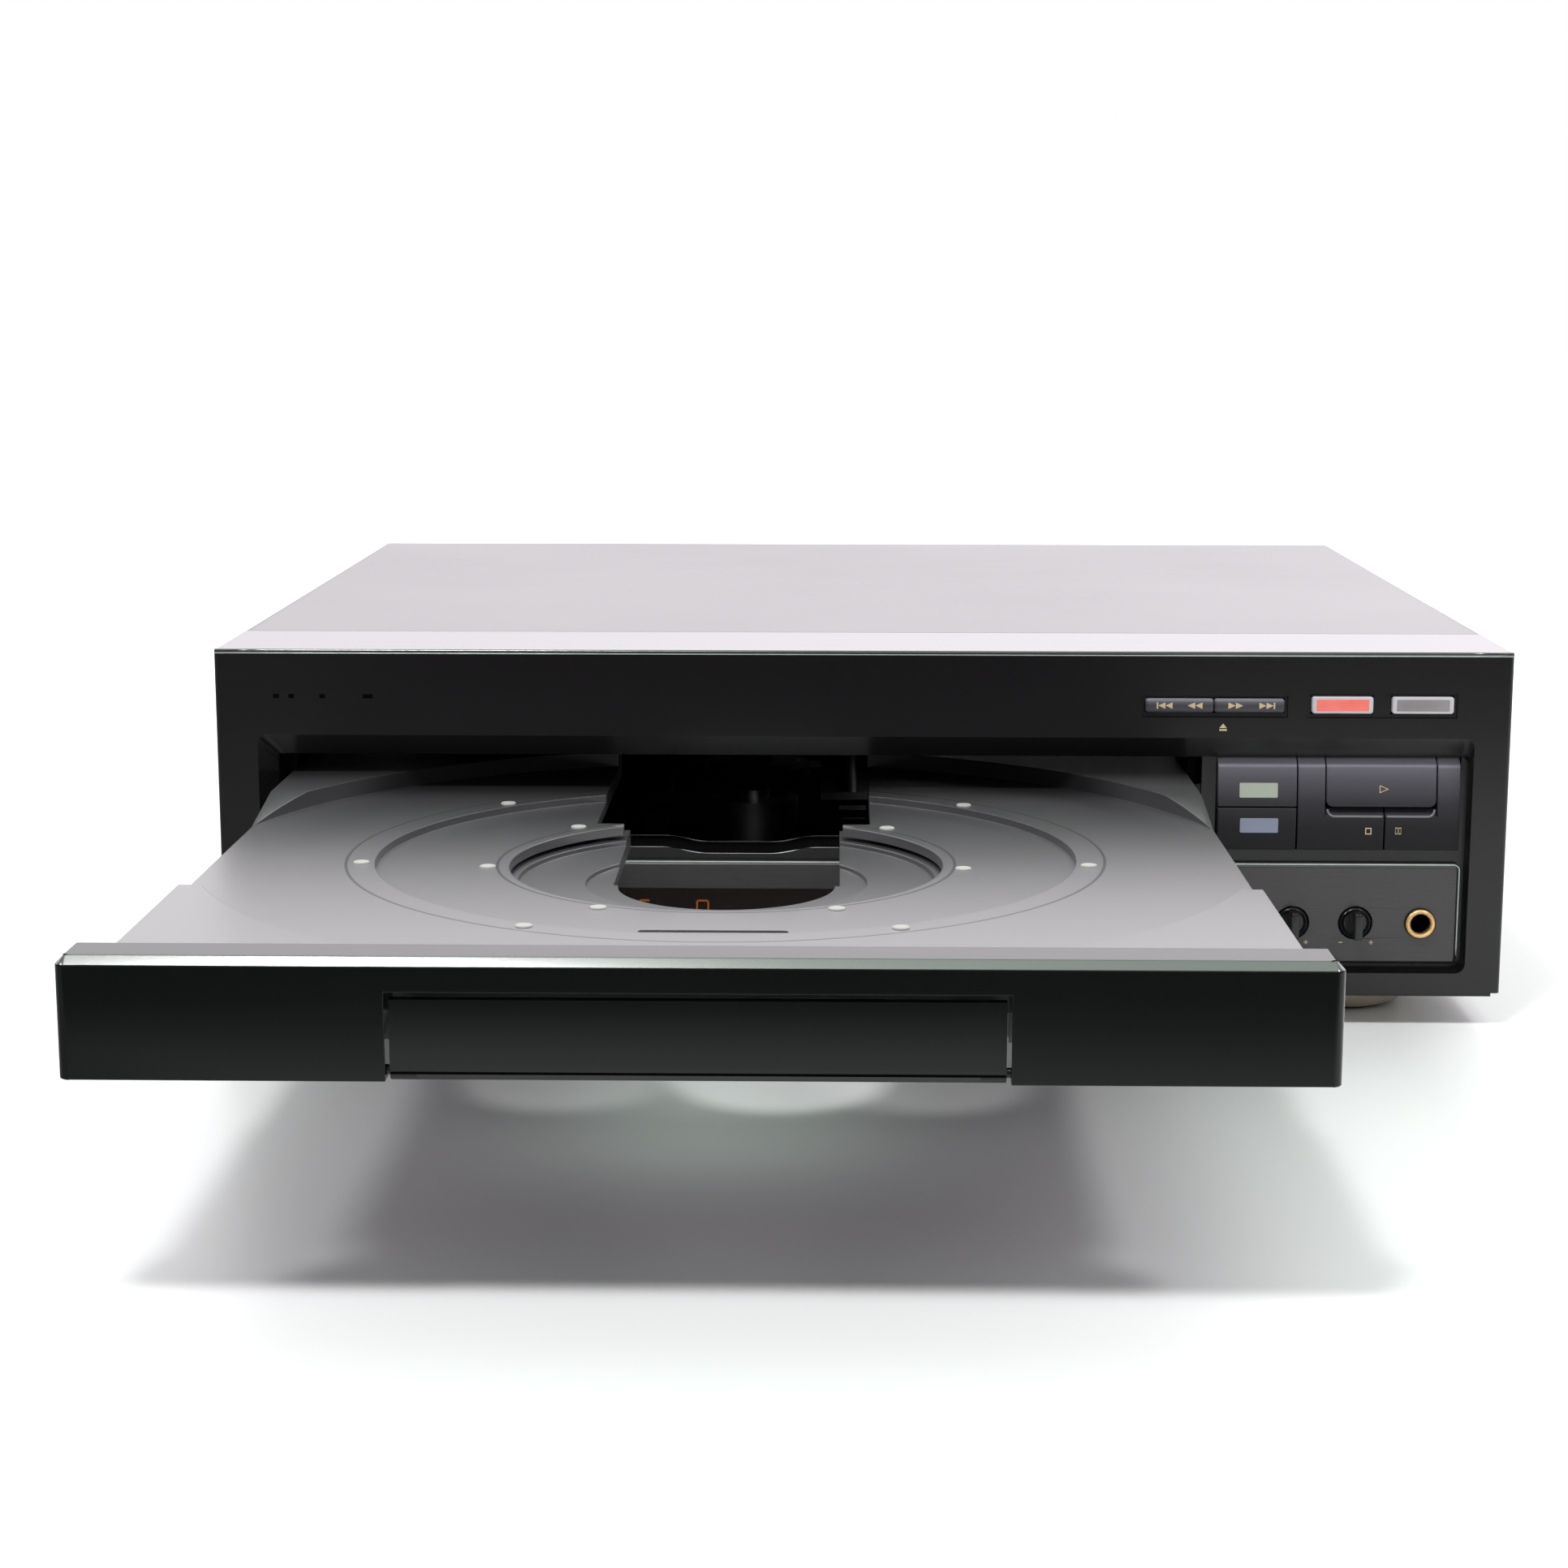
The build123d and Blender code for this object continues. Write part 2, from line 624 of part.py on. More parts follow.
with BuildPart() as tray_door:
    block((tray_x - door_half, tray_x + door_half), (door_y, door_y + door_depth), door_z)
    fillet(tray_door.edges().filter_by(Axis.Z).group_by(Axis.Y)[0], 2.6)
    front_top = tray_door.faces().sort_by(Axis.Y)[0].edges().filter_by(Axis.X).sort_by(Axis.Z)[-1]
    chamfer(front_top, 2.2)
    # hollow from behind, with a web each side of the flap
    for side in (-1, 1):
        hollow = sorted((tray_x + side * (opening_half + 3), tray_x + side * (door_half - 3)))
        block(hollow, (door_y + 3, door_y + door_depth + 1), (door_z[0] + 2.5, door_z[1] - 3), Mode.SUBTRACT)
    opening = (tray_x - opening_half, tray_x + opening_half)
    block(opening, (door_y - 1, door_y + door_depth + 1), (door_z[0] - 1, 80.0), Mode.SUBTRACT)
    for side in (-1, 1):
        hole = sorted((tray_x + side * (opening_half - 1), tray_x + side * (opening_half + 2.2)))
        axle(hole, pin_y, pin_z, pin_radius + 0.07, Mode.SUBTRACT)
save(tray_door, "tray_door")

with BuildPart() as cd_flap:
    block((tray_x - flap_half, tray_x + flap_half), (door_y + 0.05, door_y + 3.0), flap_z)
    low_front = cd_flap.faces().sort_by(Axis.Y)[0].edges().filter_by(Axis.X).sort_by(Axis.Z)[0]
    chamfer(low_front, 1.9)
    for side in (-1, 1):
        knuckle = sorted((tray_x + side * (flap_half - 6), tray_x + side * flap_half))
        pin = sorted((tray_x + side * (flap_half - 6), tray_x + side * (opening_half + 1.8)))
        axle(knuckle, pin_y, pin_z, 2.2)
        axle(pin, pin_y, pin_z, pin_radius)
save(cd_flap, "cd_flap")

# ======================================================================
# Small tray, carried under the large one
# ======================================================================
small_half = 66.0
small_z = (64.9, 71.0)
cd_recess_z = 69.5
single_recess_z = 68.2
slot_half = 33.0

with BuildPart() as cd_tray:
    with BuildSketch(at_disc(small_z[0])):
        with Locations((0, -1)):
            RectangleRounded(2 * small_half, 138, 6)
        Circle(31.6, mode=Mode.SUBTRACT)
        with Locations((0, 40)):
            Rectangle(2 * slot_half, 80, mode=Mode.SUBTRACT)
    extrude(amount=small_z[1] - small_z[0])
    with BuildSketch(at_disc(cd_recess_z)):
        Circle(60.6)
    extrude(amount=5, mode=Mode.SUBTRACT)
    with BuildSketch(at_disc(single_recess_z)):
        Circle(41.0)
    extrude(amount=5, mode=Mode.SUBTRACT)
    for side in (-1, 1):
        runner = sorted((tray_x + side * (small_half - 1), tray_x + side * 69.9))
        block(runner, (disc_y - 64, disc_y + 62), (small_z[0], small_z[0] + 2.4))
save(cd_tray, "cd_tray")

# ======================================================================
# Mechanism
# ======================================================================
frame_half = 149.4
frame_y = (back(29), back(336))
chassis_top = foot_height + sheet

with BuildPart() as mechanism_frame:
    for side in (-1, 1):
        wall = sorted((tray_x + side * frame_half, tray_x + side * (frame_half + 2.6)))
        block(wall, frame_y, (chassis_top, 88))
        ledge = sorted((tray_x + side * 141, tray_x + side * (frame_half + 1)))
        block(ledge, frame_y, (59.7, 62.2))
        keeper = sorted((tray_x + side * 147.2, tray_x + side * (frame_half + 1)))
        block(keeper, frame_y, (85.0, 87.0))
        for rib_y in (back(60), back(120), back(180), back(240), back(300)):
            rib = sorted((tray_x + side * 143, tray_x + side * (frame_half + 1)))
            block(rib, (rib_y, rib_y + 2.5), (chassis_top, 60.5))
    inside = (tray_x - frame_half - 1, tray_x + frame_half + 1)
    block(inside, (frame_y[1] - 4, frame_y[1]), (chassis_top, 40))
    block(inside, (frame_y[0], frame_y[0] + 3), (chassis_top, 46))
    # bracket for the wheel train, with its fixed pins
    block((tray_x + 30, tray_x + frame_half + 1), (back(31), back(82)), (44, 46.5))
    post(wheel_x, wheel_y, (46, 71.6), 2.0)
    post(wheel_x, wheel_y, (46, 53.6), 5.0)
    post(wheel_x - 24, wheel_y + 12.37, (46, 60.6), 2.0)
    post(tray_x + 52, wheel_y + 12.37, (40, 50), 4.0, Mode.SUBTRACT)
save(mechanism_frame, "mechanism_frame")

first_turn = 0.0           # a tooth of the rack wheel points at the rack
train_module = 1.0
big_teeth = 40
pinion_teeth = 14
belt_x = wheel_x - 24.0
belt_y = wheel_y + math.sqrt(27.0 ** 2 - 24.0 ** 2)
to_belt = math.atan2(belt_y - wheel_y, belt_x - wheel_x)

with BuildPart() as loading_gear:
    toothed_wheel(wheel_x, wheel_y, (64.8, 70.8), wheel_teeth, rack_module, first_turn)
    toothed_wheel(wheel_x, wheel_y, (54.0, 58.0), big_teeth, train_module, first_turn)
    post(wheel_x, wheel_y, (58.0, 64.8), 8.0)
    post(wheel_x, wheel_y, (53.7, 71.0), 2.05, Mode.SUBTRACT)
save(loading_gear, "loading_gear")

with BuildPart() as belt_gear:
    belt_turn = mating_turn(first_turn, big_teeth, pinion_teeth, to_belt)
    toothed_wheel(belt_x, belt_y, (53.5, 59.5), pinion_teeth, train_module, belt_turn)
    with BuildSketch(Plane.XZ) as pulley:
        with BuildLine():
            Polyline((0, 46.9), (14.6, 46.9), (14.6, 47.8), (12.9, 49.4), (12.9, 50.2),
                     (14.6, 51.8), (14.6, 52.6), (0, 52.6), close=True)
        make_face()
    with Locations((belt_x, belt_y)):
        add(Solid.revolve(pulley.sketch.face(), 360, Axis.Z))
    post(belt_x, belt_y, (52.6, 53.5), 5)
    post(belt_x, belt_y, (46, 60), 2.05, Mode.SUBTRACT)
save(belt_gear, "belt_gear")

motor_x = tray_x + 52.0
with BuildPart() as motor_pulley:
    with BuildSketch(Plane.XZ) as groove:
        with BuildLine():
            Polyline((0, 47.0), (4.6, 47.0), (4.6, 47.8), (3.2, 49.4), (3.2, 50.2),
                     (4.6, 51.8), (4.6, 52.6), (0, 52.6), close=True)
        make_face()
    with Locations((motor_x, belt_y)):
        add(Solid.revolve(groove.sketch.face(), 360, Axis.Z))
    post(motor_x, belt_y, (42, 53.4), 1.0)
save(motor_pulley, "motor_pulley")

with BuildPart() as loading_motor:
    post(motor_x, belt_y, (18, 43.9), 12)
    post(motor_x, belt_y, (43.9, 45.4), 3.2)
    post(motor_x, belt_y, (41.5, 46), 1.06, Mode.SUBTRACT)
save(loading_motor, "loading_motor")

with BuildPart() as loading_belt:
    # a round belt, drawn as a flat band that lies in both grooves
    with BuildSketch(Plane.XY.offset(49.3)):
        with BuildLine():
            large = 13.9
            small = 4.2
            reach = belt_x - motor_x
            lean = math.acos((large - small) / reach)
            outer_large = (belt_x - large * math.cos(lean), belt_y + large * math.sin(lean))
            outer_small = (motor_x - small * math.cos(lean), belt_y + small * math.sin(lean))
            Line(outer_small, outer_large)
            ThreePointArc(outer_large, (belt_x + large, belt_y), (outer_large[0], 2 * belt_y - outer_large[1]))
            Line((outer_large[0], 2 * belt_y - outer_large[1]), (outer_small[0], 2 * belt_y - outer_small[1]))
            ThreePointArc((outer_small[0], 2 * belt_y - outer_small[1]), (motor_x - small, belt_y), outer_small)
        make_face()
        offset(amount=-0.7, mode=Mode.SUBTRACT)
    extrude(amount=1.0)
save(loading_belt, "loading_belt")

# ---- lifting deck with the spindle and the pick-up ----
deck_z = (24.0, 27.0)
rod_z = 33.0
rod_radius = 2.5
with BuildPart() as lift_deck:
    with BuildSketch(Plane((tray_x, 0, deck_z[0]))):
        with Locations((0, (back(83.6) + back(330.6)) / 2)):
            RectangleRounded(140, 247, 8)
    extrude(amount=deck_z[1] - deck_z[0])
    for side in (-1, 1):
        edge = sorted((tray_x + side * 70, tray_x + side * 67.6))
        block(edge, (back(104), back(322)), (deck_z[1], 31))
        for lug_y in (back(166), back(327.4)):
            lug = sorted((tray_x + side * 33, tray_x + side * 43))
            block(lug, (lug_y, lug_y + 3), (deck_z[1], 36.5))
        peg(tray_x + side * 38, (back(165), back(331)), rod_z, rod_radius + 0.04, Mode.SUBTRACT)
save(lift_deck, "lift_deck")

large_hub = 17.4           # radius of the seat inside a 35 mm centre hole
small_hub = 7.4            # radius of the seat inside a 15 mm centre hole
with BuildPart() as spindle_motor:
    post(tray_x, spindle_y, (deck_z[1], 44), 17)
    post(tray_x, spindle_y, (44, 47), 6)
    post(tray_x, spindle_y, (35, 48), 2.06, Mode.SUBTRACT)
save(spindle_motor, "spindle_motor")

with BuildPart() as turntable:
    with BuildSketch(Plane.XZ) as half:
        with BuildLine():
            Polyline((0, 36), (2, 36), (2, 47.6), (8, 47.6), (8, 53), (22, 53), (22, 57), (large_hub, 57),
                     (large_hub, 58.1), (large_hub - 0.4, 58.3), (small_hub, 58.3), (small_hub, 60.9),
                     (small_hub - 1, 62), (0, 62), close=True)
        make_face()
    with Locations((tray_x, spindle_y)):
        add(Solid.revolve(half.sketch.face(), 360, Axis.Z))
save(turntable, "turntable")

with BuildPart() as guide_rods:
    for side in (-1, 1):
        peg(tray_x + side * 38, (back(166), back(330.4)), rod_z, rod_radius)
save(guide_rods, "guide_rods")

lens_y = spindle_y + 27.0
feed_module = 1.0
feed_teeth = 16
feed_x = tray_x + 50.0 + feed_module * feed_teeth / 2
feed_y = back(207.4)
with BuildPart() as pickup_carriage:
    block((tray_x - 44, tray_x + 46), (lens_y - 8.4, lens_y + 7.6), (29.2, 39))
    for side in (-1, 1):
        arm = sorted((tray_x + side * 33, tray_x + side * 43.5))
        block(arm, (lens_y - 22, lens_y), (29.2, 37.5))
    with BuildSketch(Plane((tray_x, lens_y - 0.4, 39))) as housing:
        RectangleRounded(52, 16, 2)
    extrude(housing.sketch, amount=13)
    for side in (-1, 1):
        peg(tray_x + side * 38, (lens_y - 23, lens_y + 9), rod_z, rod_radius + 0.06, Mode.SUBTRACT)
    rack(tray_x + 50, 1, (back(85), lens_y + 9), (30, 36), feed_module, feed_y, tray_x + 45)
save(pickup_carriage, "pickup_carriage")

with BuildPart() as pickup_lens:
    post(tray_x, lens_y, (52, 53.4), 4.6)
    post(tray_x, lens_y, (53.4, 54.4), 3)
save(pickup_lens, "pickup_lens")

with BuildPart() as feed_gear:
    toothed_wheel(feed_x, feed_y, (30.5, 35.5), feed_teeth, feed_module, math.pi)
    post(feed_x, feed_y, (29, 30.5), 3)
    post(feed_x, feed_y, (28, 37), 1.05, Mode.SUBTRACT)
save(feed_gear, "feed_gear")

with BuildPart() as feed_motor:
    post(feed_x, feed_y, (deck_z[1], 28.8), 6)
    post(feed_x, feed_y, (28.8, 37), 1.0)
save(feed_motor, "feed_motor")

# ---- clamp ----
bridge_z = (92.0, 93.5)
with BuildPart() as clamp_bridge:
    reach = frame_half + 2.6
    block((tray_x - reach, tray_x + reach), (spindle_y - 26, spindle_y + 26), bridge_z)
    for side in (-1, 1):
        leg = sorted((tray_x + side * reach, tray_x + side * (reach - 2.6)))
        block(leg, (spindle_y - 26, spindle_y + 26), (88, bridge_z[0]))
    for edge in (-1, 1):
        upstand = sorted((spindle_y + edge * 26, spindle_y + edge * 24.6))
        block((tray_x - reach + 6, tray_x + reach - 6), upstand, (bridge_z[1], 99))
    post(tray_x, spindle_y, (90, 96), 17, Mode.SUBTRACT)
save(clamp_bridge, "clamp_bridge")

with BuildPart() as disc_clamp:
    with BuildSketch(Plane.XZ) as half:
        with BuildLine():
            Polyline((0, 88.6), (8.4, 88.6), (8.4, 85.2), (22, 85.2), (22, 88.2), (15.5, 89.4), (15.5, 93.6),
                     (20, 93.6), (20, 95.2), (16, 98.2), (0, 98.2), close=True)
        make_face()
    with Locations((tray_x, spindle_y)):
        add(Solid.revolve(half.sketch.face(), 360, Axis.Z))
save(disc_clamp, "disc_clamp")

# ======================================================================
# Electronics and rear sockets
# ======================================================================
with BuildPart() as power_transformer:
    with Locations((162, back(280), chassis_top + 27)):
        Box(66, 46, 54)
        Box(46, 66, 34)
    fillet(power_transformer.edges().filter_by(Axis.Z).group_by(Axis.Y)[0], 2)
save(power_transformer, "power_transformer")

with BuildPart() as power_board:
    for x in (130, 196):
        for y in (back(108), back(202)):
            post(x, y, (chassis_top, 20), 3)
    block((122, 203), (back(98), back(212)), (20, 21.6))
    for x, y, radius, high in ((140, 120, 9, 52), (164, 120, 9, 52), (188, 122, 6.5, 44), (168, 150, 6.5, 44)):
        post(x, back(y), (21.6, high), radius)
    block((132, 146), (back(180), back(204)), (21.6, 44))
save(power_board, "power_board")

with BuildPart() as heat_sink:
    block((196, 199), (back(136), back(200)), (21.6, 72))
    with Locations((191.5, back(168), 46)):
        with GridLocations(0, 8, 1, 8):
            Box(9.4, 1.6, 44)
save(heat_sink, "heat_sink")

with BuildPart() as main_board:
    for x in (-176, 96):
        for y in (back(98), back(322)):
            post(x, y, (chassis_top, 15.6), 3)
    block((-182.4, 102.4), (back(90), back(328)), (15.6, 17.2))
    for x in (-150, -110, 20, 60):
        for y in (130, 190):
            block((x - 12, x + 12), (back(y), back(y + 24)), (17.2, 19.6))
save(main_board, "main_board")

with BuildPart() as ac_inlet:
    # housing behind the panel, with a mouth for the mains plug
    block((inlet_x[0] + 0.2, inlet_x[1] - 0.2), (back(326), back(345.4)), (inlet_z[0] + 0.2, inlet_z[1] - 0.2))
    block((inlet_x[0] - 2, inlet_x[1] + 2), (rear_y, back(346.4)), (inlet_z[0] - 2, inlet_z[1] + 2))
    block((inlet_x[0] + 3, inlet_x[1] - 3), (back(331), back(347)), (inlet_z[0] + 4, inlet_z[1] - 4), Mode.SUBTRACT)
    for x in (157.5, 164, 170.5):
        block((x - 1, x + 1), (back(330), back(342)), (38.5, 43.5))
save(ac_inlet, "ac_inlet")

jack_radius = 4.15
with BuildPart() as jack_block:
    block((jack_x[0] - 8, jack_x[-1] + 8), (back(336.6), back(343)), (jack_z[0] - 9, jack_z[1] + 9))
    for x in jack_x:
        for z in jack_z:
            peg(x, (back(343), rear_y), z, 5.0)
            peg(x, (rear_y, rear_y + 1.2), z, 6.2)
            peg(x, (back(338), back(347)), z, jack_radius - 0.9, Mode.SUBTRACT)
save(jack_block, "jack_block")

jack_end = back(cover_rear + jack_proud)
with BuildPart() as phono_jacks:
    for x in jack_x:
        for z in jack_z:
            peg(x, (rear_y + 1.2, jack_end), z, jack_radius)
            peg(x, (back(338), rear_y + 1.3), z, jack_radius - 0.9)
            peg(x, (back(341), jack_end + 1), z, 1.65, Mode.SUBTRACT)
save(phono_jacks, "phono_jacks")

with BuildPart() as cover_screws:
    for y in side_screw_y:
        for side in (-1, 1):
            head = sorted((side * cover_half, side * (cover_half + 0.45)))
            shank = sorted((side * (pan_half - 3), side * cover_half))
            axle(head, y, side_screw_z, 4)
            axle(shank, y, side_screw_z, 2)
    for x in (-190, 0, 190):
        peg(x, (rear_y, rear_y + 1.8), 117, 3.4)
save(cover_screws, "cover_screws")
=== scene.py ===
import bpy, bmesh, json, math
import numpy as np
from mathutils import Matrix, Vector


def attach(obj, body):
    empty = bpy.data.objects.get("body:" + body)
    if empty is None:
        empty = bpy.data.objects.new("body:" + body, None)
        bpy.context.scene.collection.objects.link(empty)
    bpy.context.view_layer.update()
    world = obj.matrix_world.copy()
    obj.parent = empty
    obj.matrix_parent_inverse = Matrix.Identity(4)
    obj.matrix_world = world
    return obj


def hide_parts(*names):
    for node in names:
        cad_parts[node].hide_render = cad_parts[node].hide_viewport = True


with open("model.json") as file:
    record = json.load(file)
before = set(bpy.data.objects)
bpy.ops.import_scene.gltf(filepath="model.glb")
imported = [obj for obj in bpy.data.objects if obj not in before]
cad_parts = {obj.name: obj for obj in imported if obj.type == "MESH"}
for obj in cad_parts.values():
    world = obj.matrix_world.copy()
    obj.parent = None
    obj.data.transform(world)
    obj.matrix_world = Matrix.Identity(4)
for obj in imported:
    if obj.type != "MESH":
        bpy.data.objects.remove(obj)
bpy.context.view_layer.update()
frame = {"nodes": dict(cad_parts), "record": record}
mm = 0.001
print("frame loaded:", len(frame["nodes"]), "nodes")

# places that the player and its trays are built round, in millimetres
player = {"frontFace": -43.0, "trayMiddle": -39.9, "discMiddle": -140.8, "doorFace": -312.0,
          "trayTop": 77.7, "smallRecess": 75.35}


def back(distance):
    # Y of a place that many millimetres behind the face of the front panel: face + distance
    return player["frontFace"] + distance


# ---------- camera ----------
camera = {"place": (-7.5, -948.04, 246.36), "turn": -0.0193, "dip": 0.1812, "tilt": 0.0005, "lens": 64.925}


def setCamera():
    # ahead = (sin turn cos dip, cos turn cos dip, -sin dip); right is level, up = right x ahead; both turn by the tilt
    turn, dip, tilt = camera["turn"], camera["dip"], camera["tilt"]
    ahead = Vector((math.sin(turn) * math.cos(dip), math.cos(turn) * math.cos(dip), -math.sin(dip)))
    right = Vector((math.cos(turn), -math.sin(turn), 0.0))
    up = right.cross(ahead)
    tiltedRight = right * math.cos(tilt) + up * math.sin(tilt)
    tiltedUp = up * math.cos(tilt) - right * math.sin(tilt)
    eye = bpy.data.objects.new("photoCamera", bpy.data.cameras.new("photoCamera"))
    eye.data.sensor_width = 36.0
    eye.data.lens = camera["lens"]
    eye.data.clip_start = 0.01
    eye.data.clip_end = 60.0
    eye.matrix_world = Matrix.Translation(Vector(camera["place"]) * mm) @ Matrix(
        (tiltedRight, tiltedUp, -ahead)).transposed().to_4x4()
    bpy.context.collection.objects.link(eye)
    bpy.context.scene.camera = eye


setCamera()
bpy.context.scene.view_settings.view_transform = "Standard"
print("camera set")

# ---------- shared shader groups ----------


def newGroup(name, inputs, outputs):
    # a node group with the given (label, kind, start value) inputs and (label, kind) outputs
    group = bpy.data.node_groups.new(name, "ShaderNodeTree")
    for label, kind, value in inputs:
        socket = group.interface.new_socket(label, in_out="INPUT", socket_type=kind)
        if value is not None:
            socket.default_value = value
    for label, kind in outputs:
        group.interface.new_socket(label, in_out="OUTPUT", socket_type=kind)
    return group, group.nodes.new("NodeGroupInput"), group.nodes.new("NodeGroupOutput")


def wire(tree, value, socket):
    # a link when the value is an output socket, else the value itself
    if isinstance(value, bpy.types.NodeSocket):
        tree.links.new(value, socket)
    else:
        socket.default_value = value


def mathNode(tree, operation, first, second=None):
    # operation(first, second), as in MAXIMUM: the larger of the two
    node = tree.nodes.new("ShaderNodeMath")
    node.operation = operation
    for place, value in enumerate((first, second)):
        if value is not None:
            wire(tree, value, node.inputs[place])
    return node.outputs[0]


def vectorNode(tree, operation, first, second=None):
    # the same for vectors: SUBTRACT and MULTIPLY give a vector, LENGTH gives a number
    node = tree.nodes.new("ShaderNodeVectorMath")
    node.operation = operation
    wire(tree, first, node.inputs[0])
    if second is not None:
        wire(tree, second, node.inputs[1])
    return node.outputs["Value" if operation == "LENGTH" else "Vector"]


def noiseNode(tree, vector, scale, detail=3.0):
    # smooth noise from 0 to 1, with `scale` swells to the metre and `detail` finer layers
    node = tree.nodes.new("ShaderNodeTexNoise")
    node.inputs["Detail"].default_value = detail
    wire(tree, vector, node.inputs["Vector"])
    wire(tree, scale, node.inputs["Scale"])
    return node.outputs["Fac"]


def mapRange(tree, value, start, end, low=0.0, high=1.0, smooth=True):
    # low + (high - low) * part, where part = (value - start) / (end - start) from 0 to 1, eased at both ends if smooth
    node = tree.nodes.new("ShaderNodeMapRange")
    if smooth:
        node.interpolation_type = "SMOOTHSTEP"
    wire(tree, value, node.inputs["Value"])
    for label, setting in (("From Min", start), ("From Max", end), ("To Min", low), ("To Max", high)):
        wire(tree, setting, node.inputs[label])
    return node.outputs["Result"]


def mixColour(tree, factor, first, second):
    # first * (1 - factor) + second * factor
    node = tree.nodes.new("ShaderNodeMix")
    node.data_type = "RGBA"
    wire(tree, factor, node.inputs["Factor"])
    wire(tree, first, node.inputs["A"])
    wire(tree, second, node.inputs["B"])
    return node.outputs["Result"]


def axisOf(tree, vector, axis):
    # one coordinate of a vector
    node = tree.nodes.new("ShaderNodeSeparateXYZ")
    wire(tree, vector, node.inputs[0])
    return node.outputs[axis]


grey = (0.1, 0.1, 0.1, 1)
finishInputs = (("Vector", "NodeSocketVector", None), ("Colour", "NodeSocketColor", grey),
                ("Second Colour", "NodeSocketColor", grey), ("Scale", "NodeSocketFloat", 900.0),
                ("Height", "NodeSocketFloat", 0.1), ("Low Roughness", "NodeSocketFloat", 0.3),
                ("High Roughness", "NodeSocketFloat", 0.45), ("Cloud Scale", "NodeSocketFloat", 9.0))
lineStretch = (0.012, 1.0, 1.0)
bumpDepth = 0.0001


def buildFinishGroup(name, brushed):
    # brushed: one noise, stretched into long fine lines along X, gives tone and relief
    # else: a broad faint cloud gives tone and gloss, and a fine moulded or sprayed grain gives the relief
    # colour = mix(colour, second colour, tone); roughness runs from low to high as tone runs from 0.3 to 0.7
    group, entry, leave = newGroup(name, finishInputs, (
        ("Colour", "NodeSocketColor"), ("Roughness", "NodeSocketFloat"), ("Normal", "NodeSocketVector")))
    given = entry.outputs
    if brushed:
        stretch = group.nodes.new("ShaderNodeMapping")
        stretch.inputs["Scale"].default_value = lineStretch
        wire(group, given["Vector"], stretch.inputs["Vector"])
        tone = relief = noiseNode(group, stretch.outputs["Vector"], given["Scale"], 3.0)
    else:
        tone = noiseNode(group, given["Vector"], given["Cloud Scale"], 4.0)
        relief = noiseNode(group, given["Vector"], given["Scale"], 2.0)
    wire(group, mixColour(group, tone, given["Colour"], given["Second Colour"]), leave.inputs["Colour"])
    wire(group, mapRange(group, tone, 0.3, 0.7, given["Low Roughness"], given["High Roughness"], smooth=False),
         leave.inputs["Roughness"])
    bump = group.nodes.new("ShaderNodeBump")
    bump.inputs["Distance"].default_value = bumpDepth
    wire(group, given["Height"], bump.inputs["Strength"])
    wire(group, relief, bump.inputs["Height"])
    wire(group, bump.outputs["Normal"], leave.inputs["Normal"])
    return group


def buildRingGroup():
    # a hairline circle round a centre: 1 where |distance in XY - radius| < width, else 0
    group, entry, leave = newGroup("hairlineRing", (
        ("Vector", "NodeSocketVector", None), ("Centre", "NodeSocketVector", (0, 0, 0)),
        ("Radius", "NodeSocketFloat", 0.1), ("Width", "NodeSocketFloat", 0.0003)),
        (("Mask", "NodeSocketFloat"),))
    given = entry.outputs
    offset = vectorNode(group, "SUBTRACT", given["Vector"], given["Centre"])
    reach = vectorNode(group, "LENGTH", vectorNode(group, "MULTIPLY", offset, (1, 1, 0)))
    away = mathNode(group, "ABSOLUTE", mathNode(group, "SUBTRACT", reach, given["Radius"]))
    wire(group, mathNode(group, "LESS_THAN", away, given["Width"]), leave.inputs["Mask"])
    return group


grainGroup = buildFinishGroup("finishGrain", False)
brushGroup = buildFinishGroup("brushedLines", True)
ringGroup = buildRingGroup()

# ---------- materials ----------


def newMaterial(name):
    # an empty material with its shader and the Object coordinates
    material = bpy.data.materials.new(name)
    material.use_nodes = True
    tree = material.node_tree
    place = tree.nodes.new("ShaderNodeTexCoord").outputs["Object"]
    return material, tree, tree.nodes["Principled BSDF"], place


def setShader(shader, values):
    # plain values on the shader's own sockets
    for label, value in values.items():
        shader.inputs[label].default_value = value


def grainMaterial(name, colour, second, rough, grain=900.0, height=0.15, cloud=9.0, group=grainGroup, **values):
    # the finish group between Object coordinates and the shader
    material, tree, shader, place = newMaterial(name)
    node = tree.nodes.new("ShaderNodeGroup")
    node.node_tree = group
    settings = (("Vector", place), ("Colour", (*colour, 1)), ("Second Colour", (*second, 1)), ("Scale", grain),
                ("Height", height), ("Cloud Scale", cloud), ("Low Roughness", rough[0]), ("High Roughness", rough[1]))
    for label, value in settings:
        wire(tree, value, node.inputs[label])
    for label, socket in (("Colour", "Base Color"), ("Roughness", "Roughness"), ("Normal", "Normal")):
        wire(tree, node.outputs[label], shader.inputs[socket])
    setShader(shader, values)
    return material


def brushedMaterial(name, colour, second, rough, lines=1400.0, height=0.2, **values):
    # the same with fine lines in place of grain
    return grainMaterial(name, colour, second, rough, grain=lines, height=height, group=brushGroup, **values)


def nodeOf(material, kind):
    # the first node of a kind in a material
    return next(node for node in material.node_tree.nodes if node.type == kind)


# painted light and shade on the keys: their tone at heights in millimetres, from the foot of the lower row to the top
# of the skip keys
keyPaintedLight = ((58.0, 0.006), (66.0, 0.012), (74.0, 0.034), (82.0, 0.085), (85.6, 0.13), (86.6, 0.30), (88.2, 0.30),
           (89.2, 0.16), (103.0, 0.10), (107.0, 0.055), (108.3, 0.12), (109.3, 0.24))
keyTint = (1.0, 0.965, 1.13)


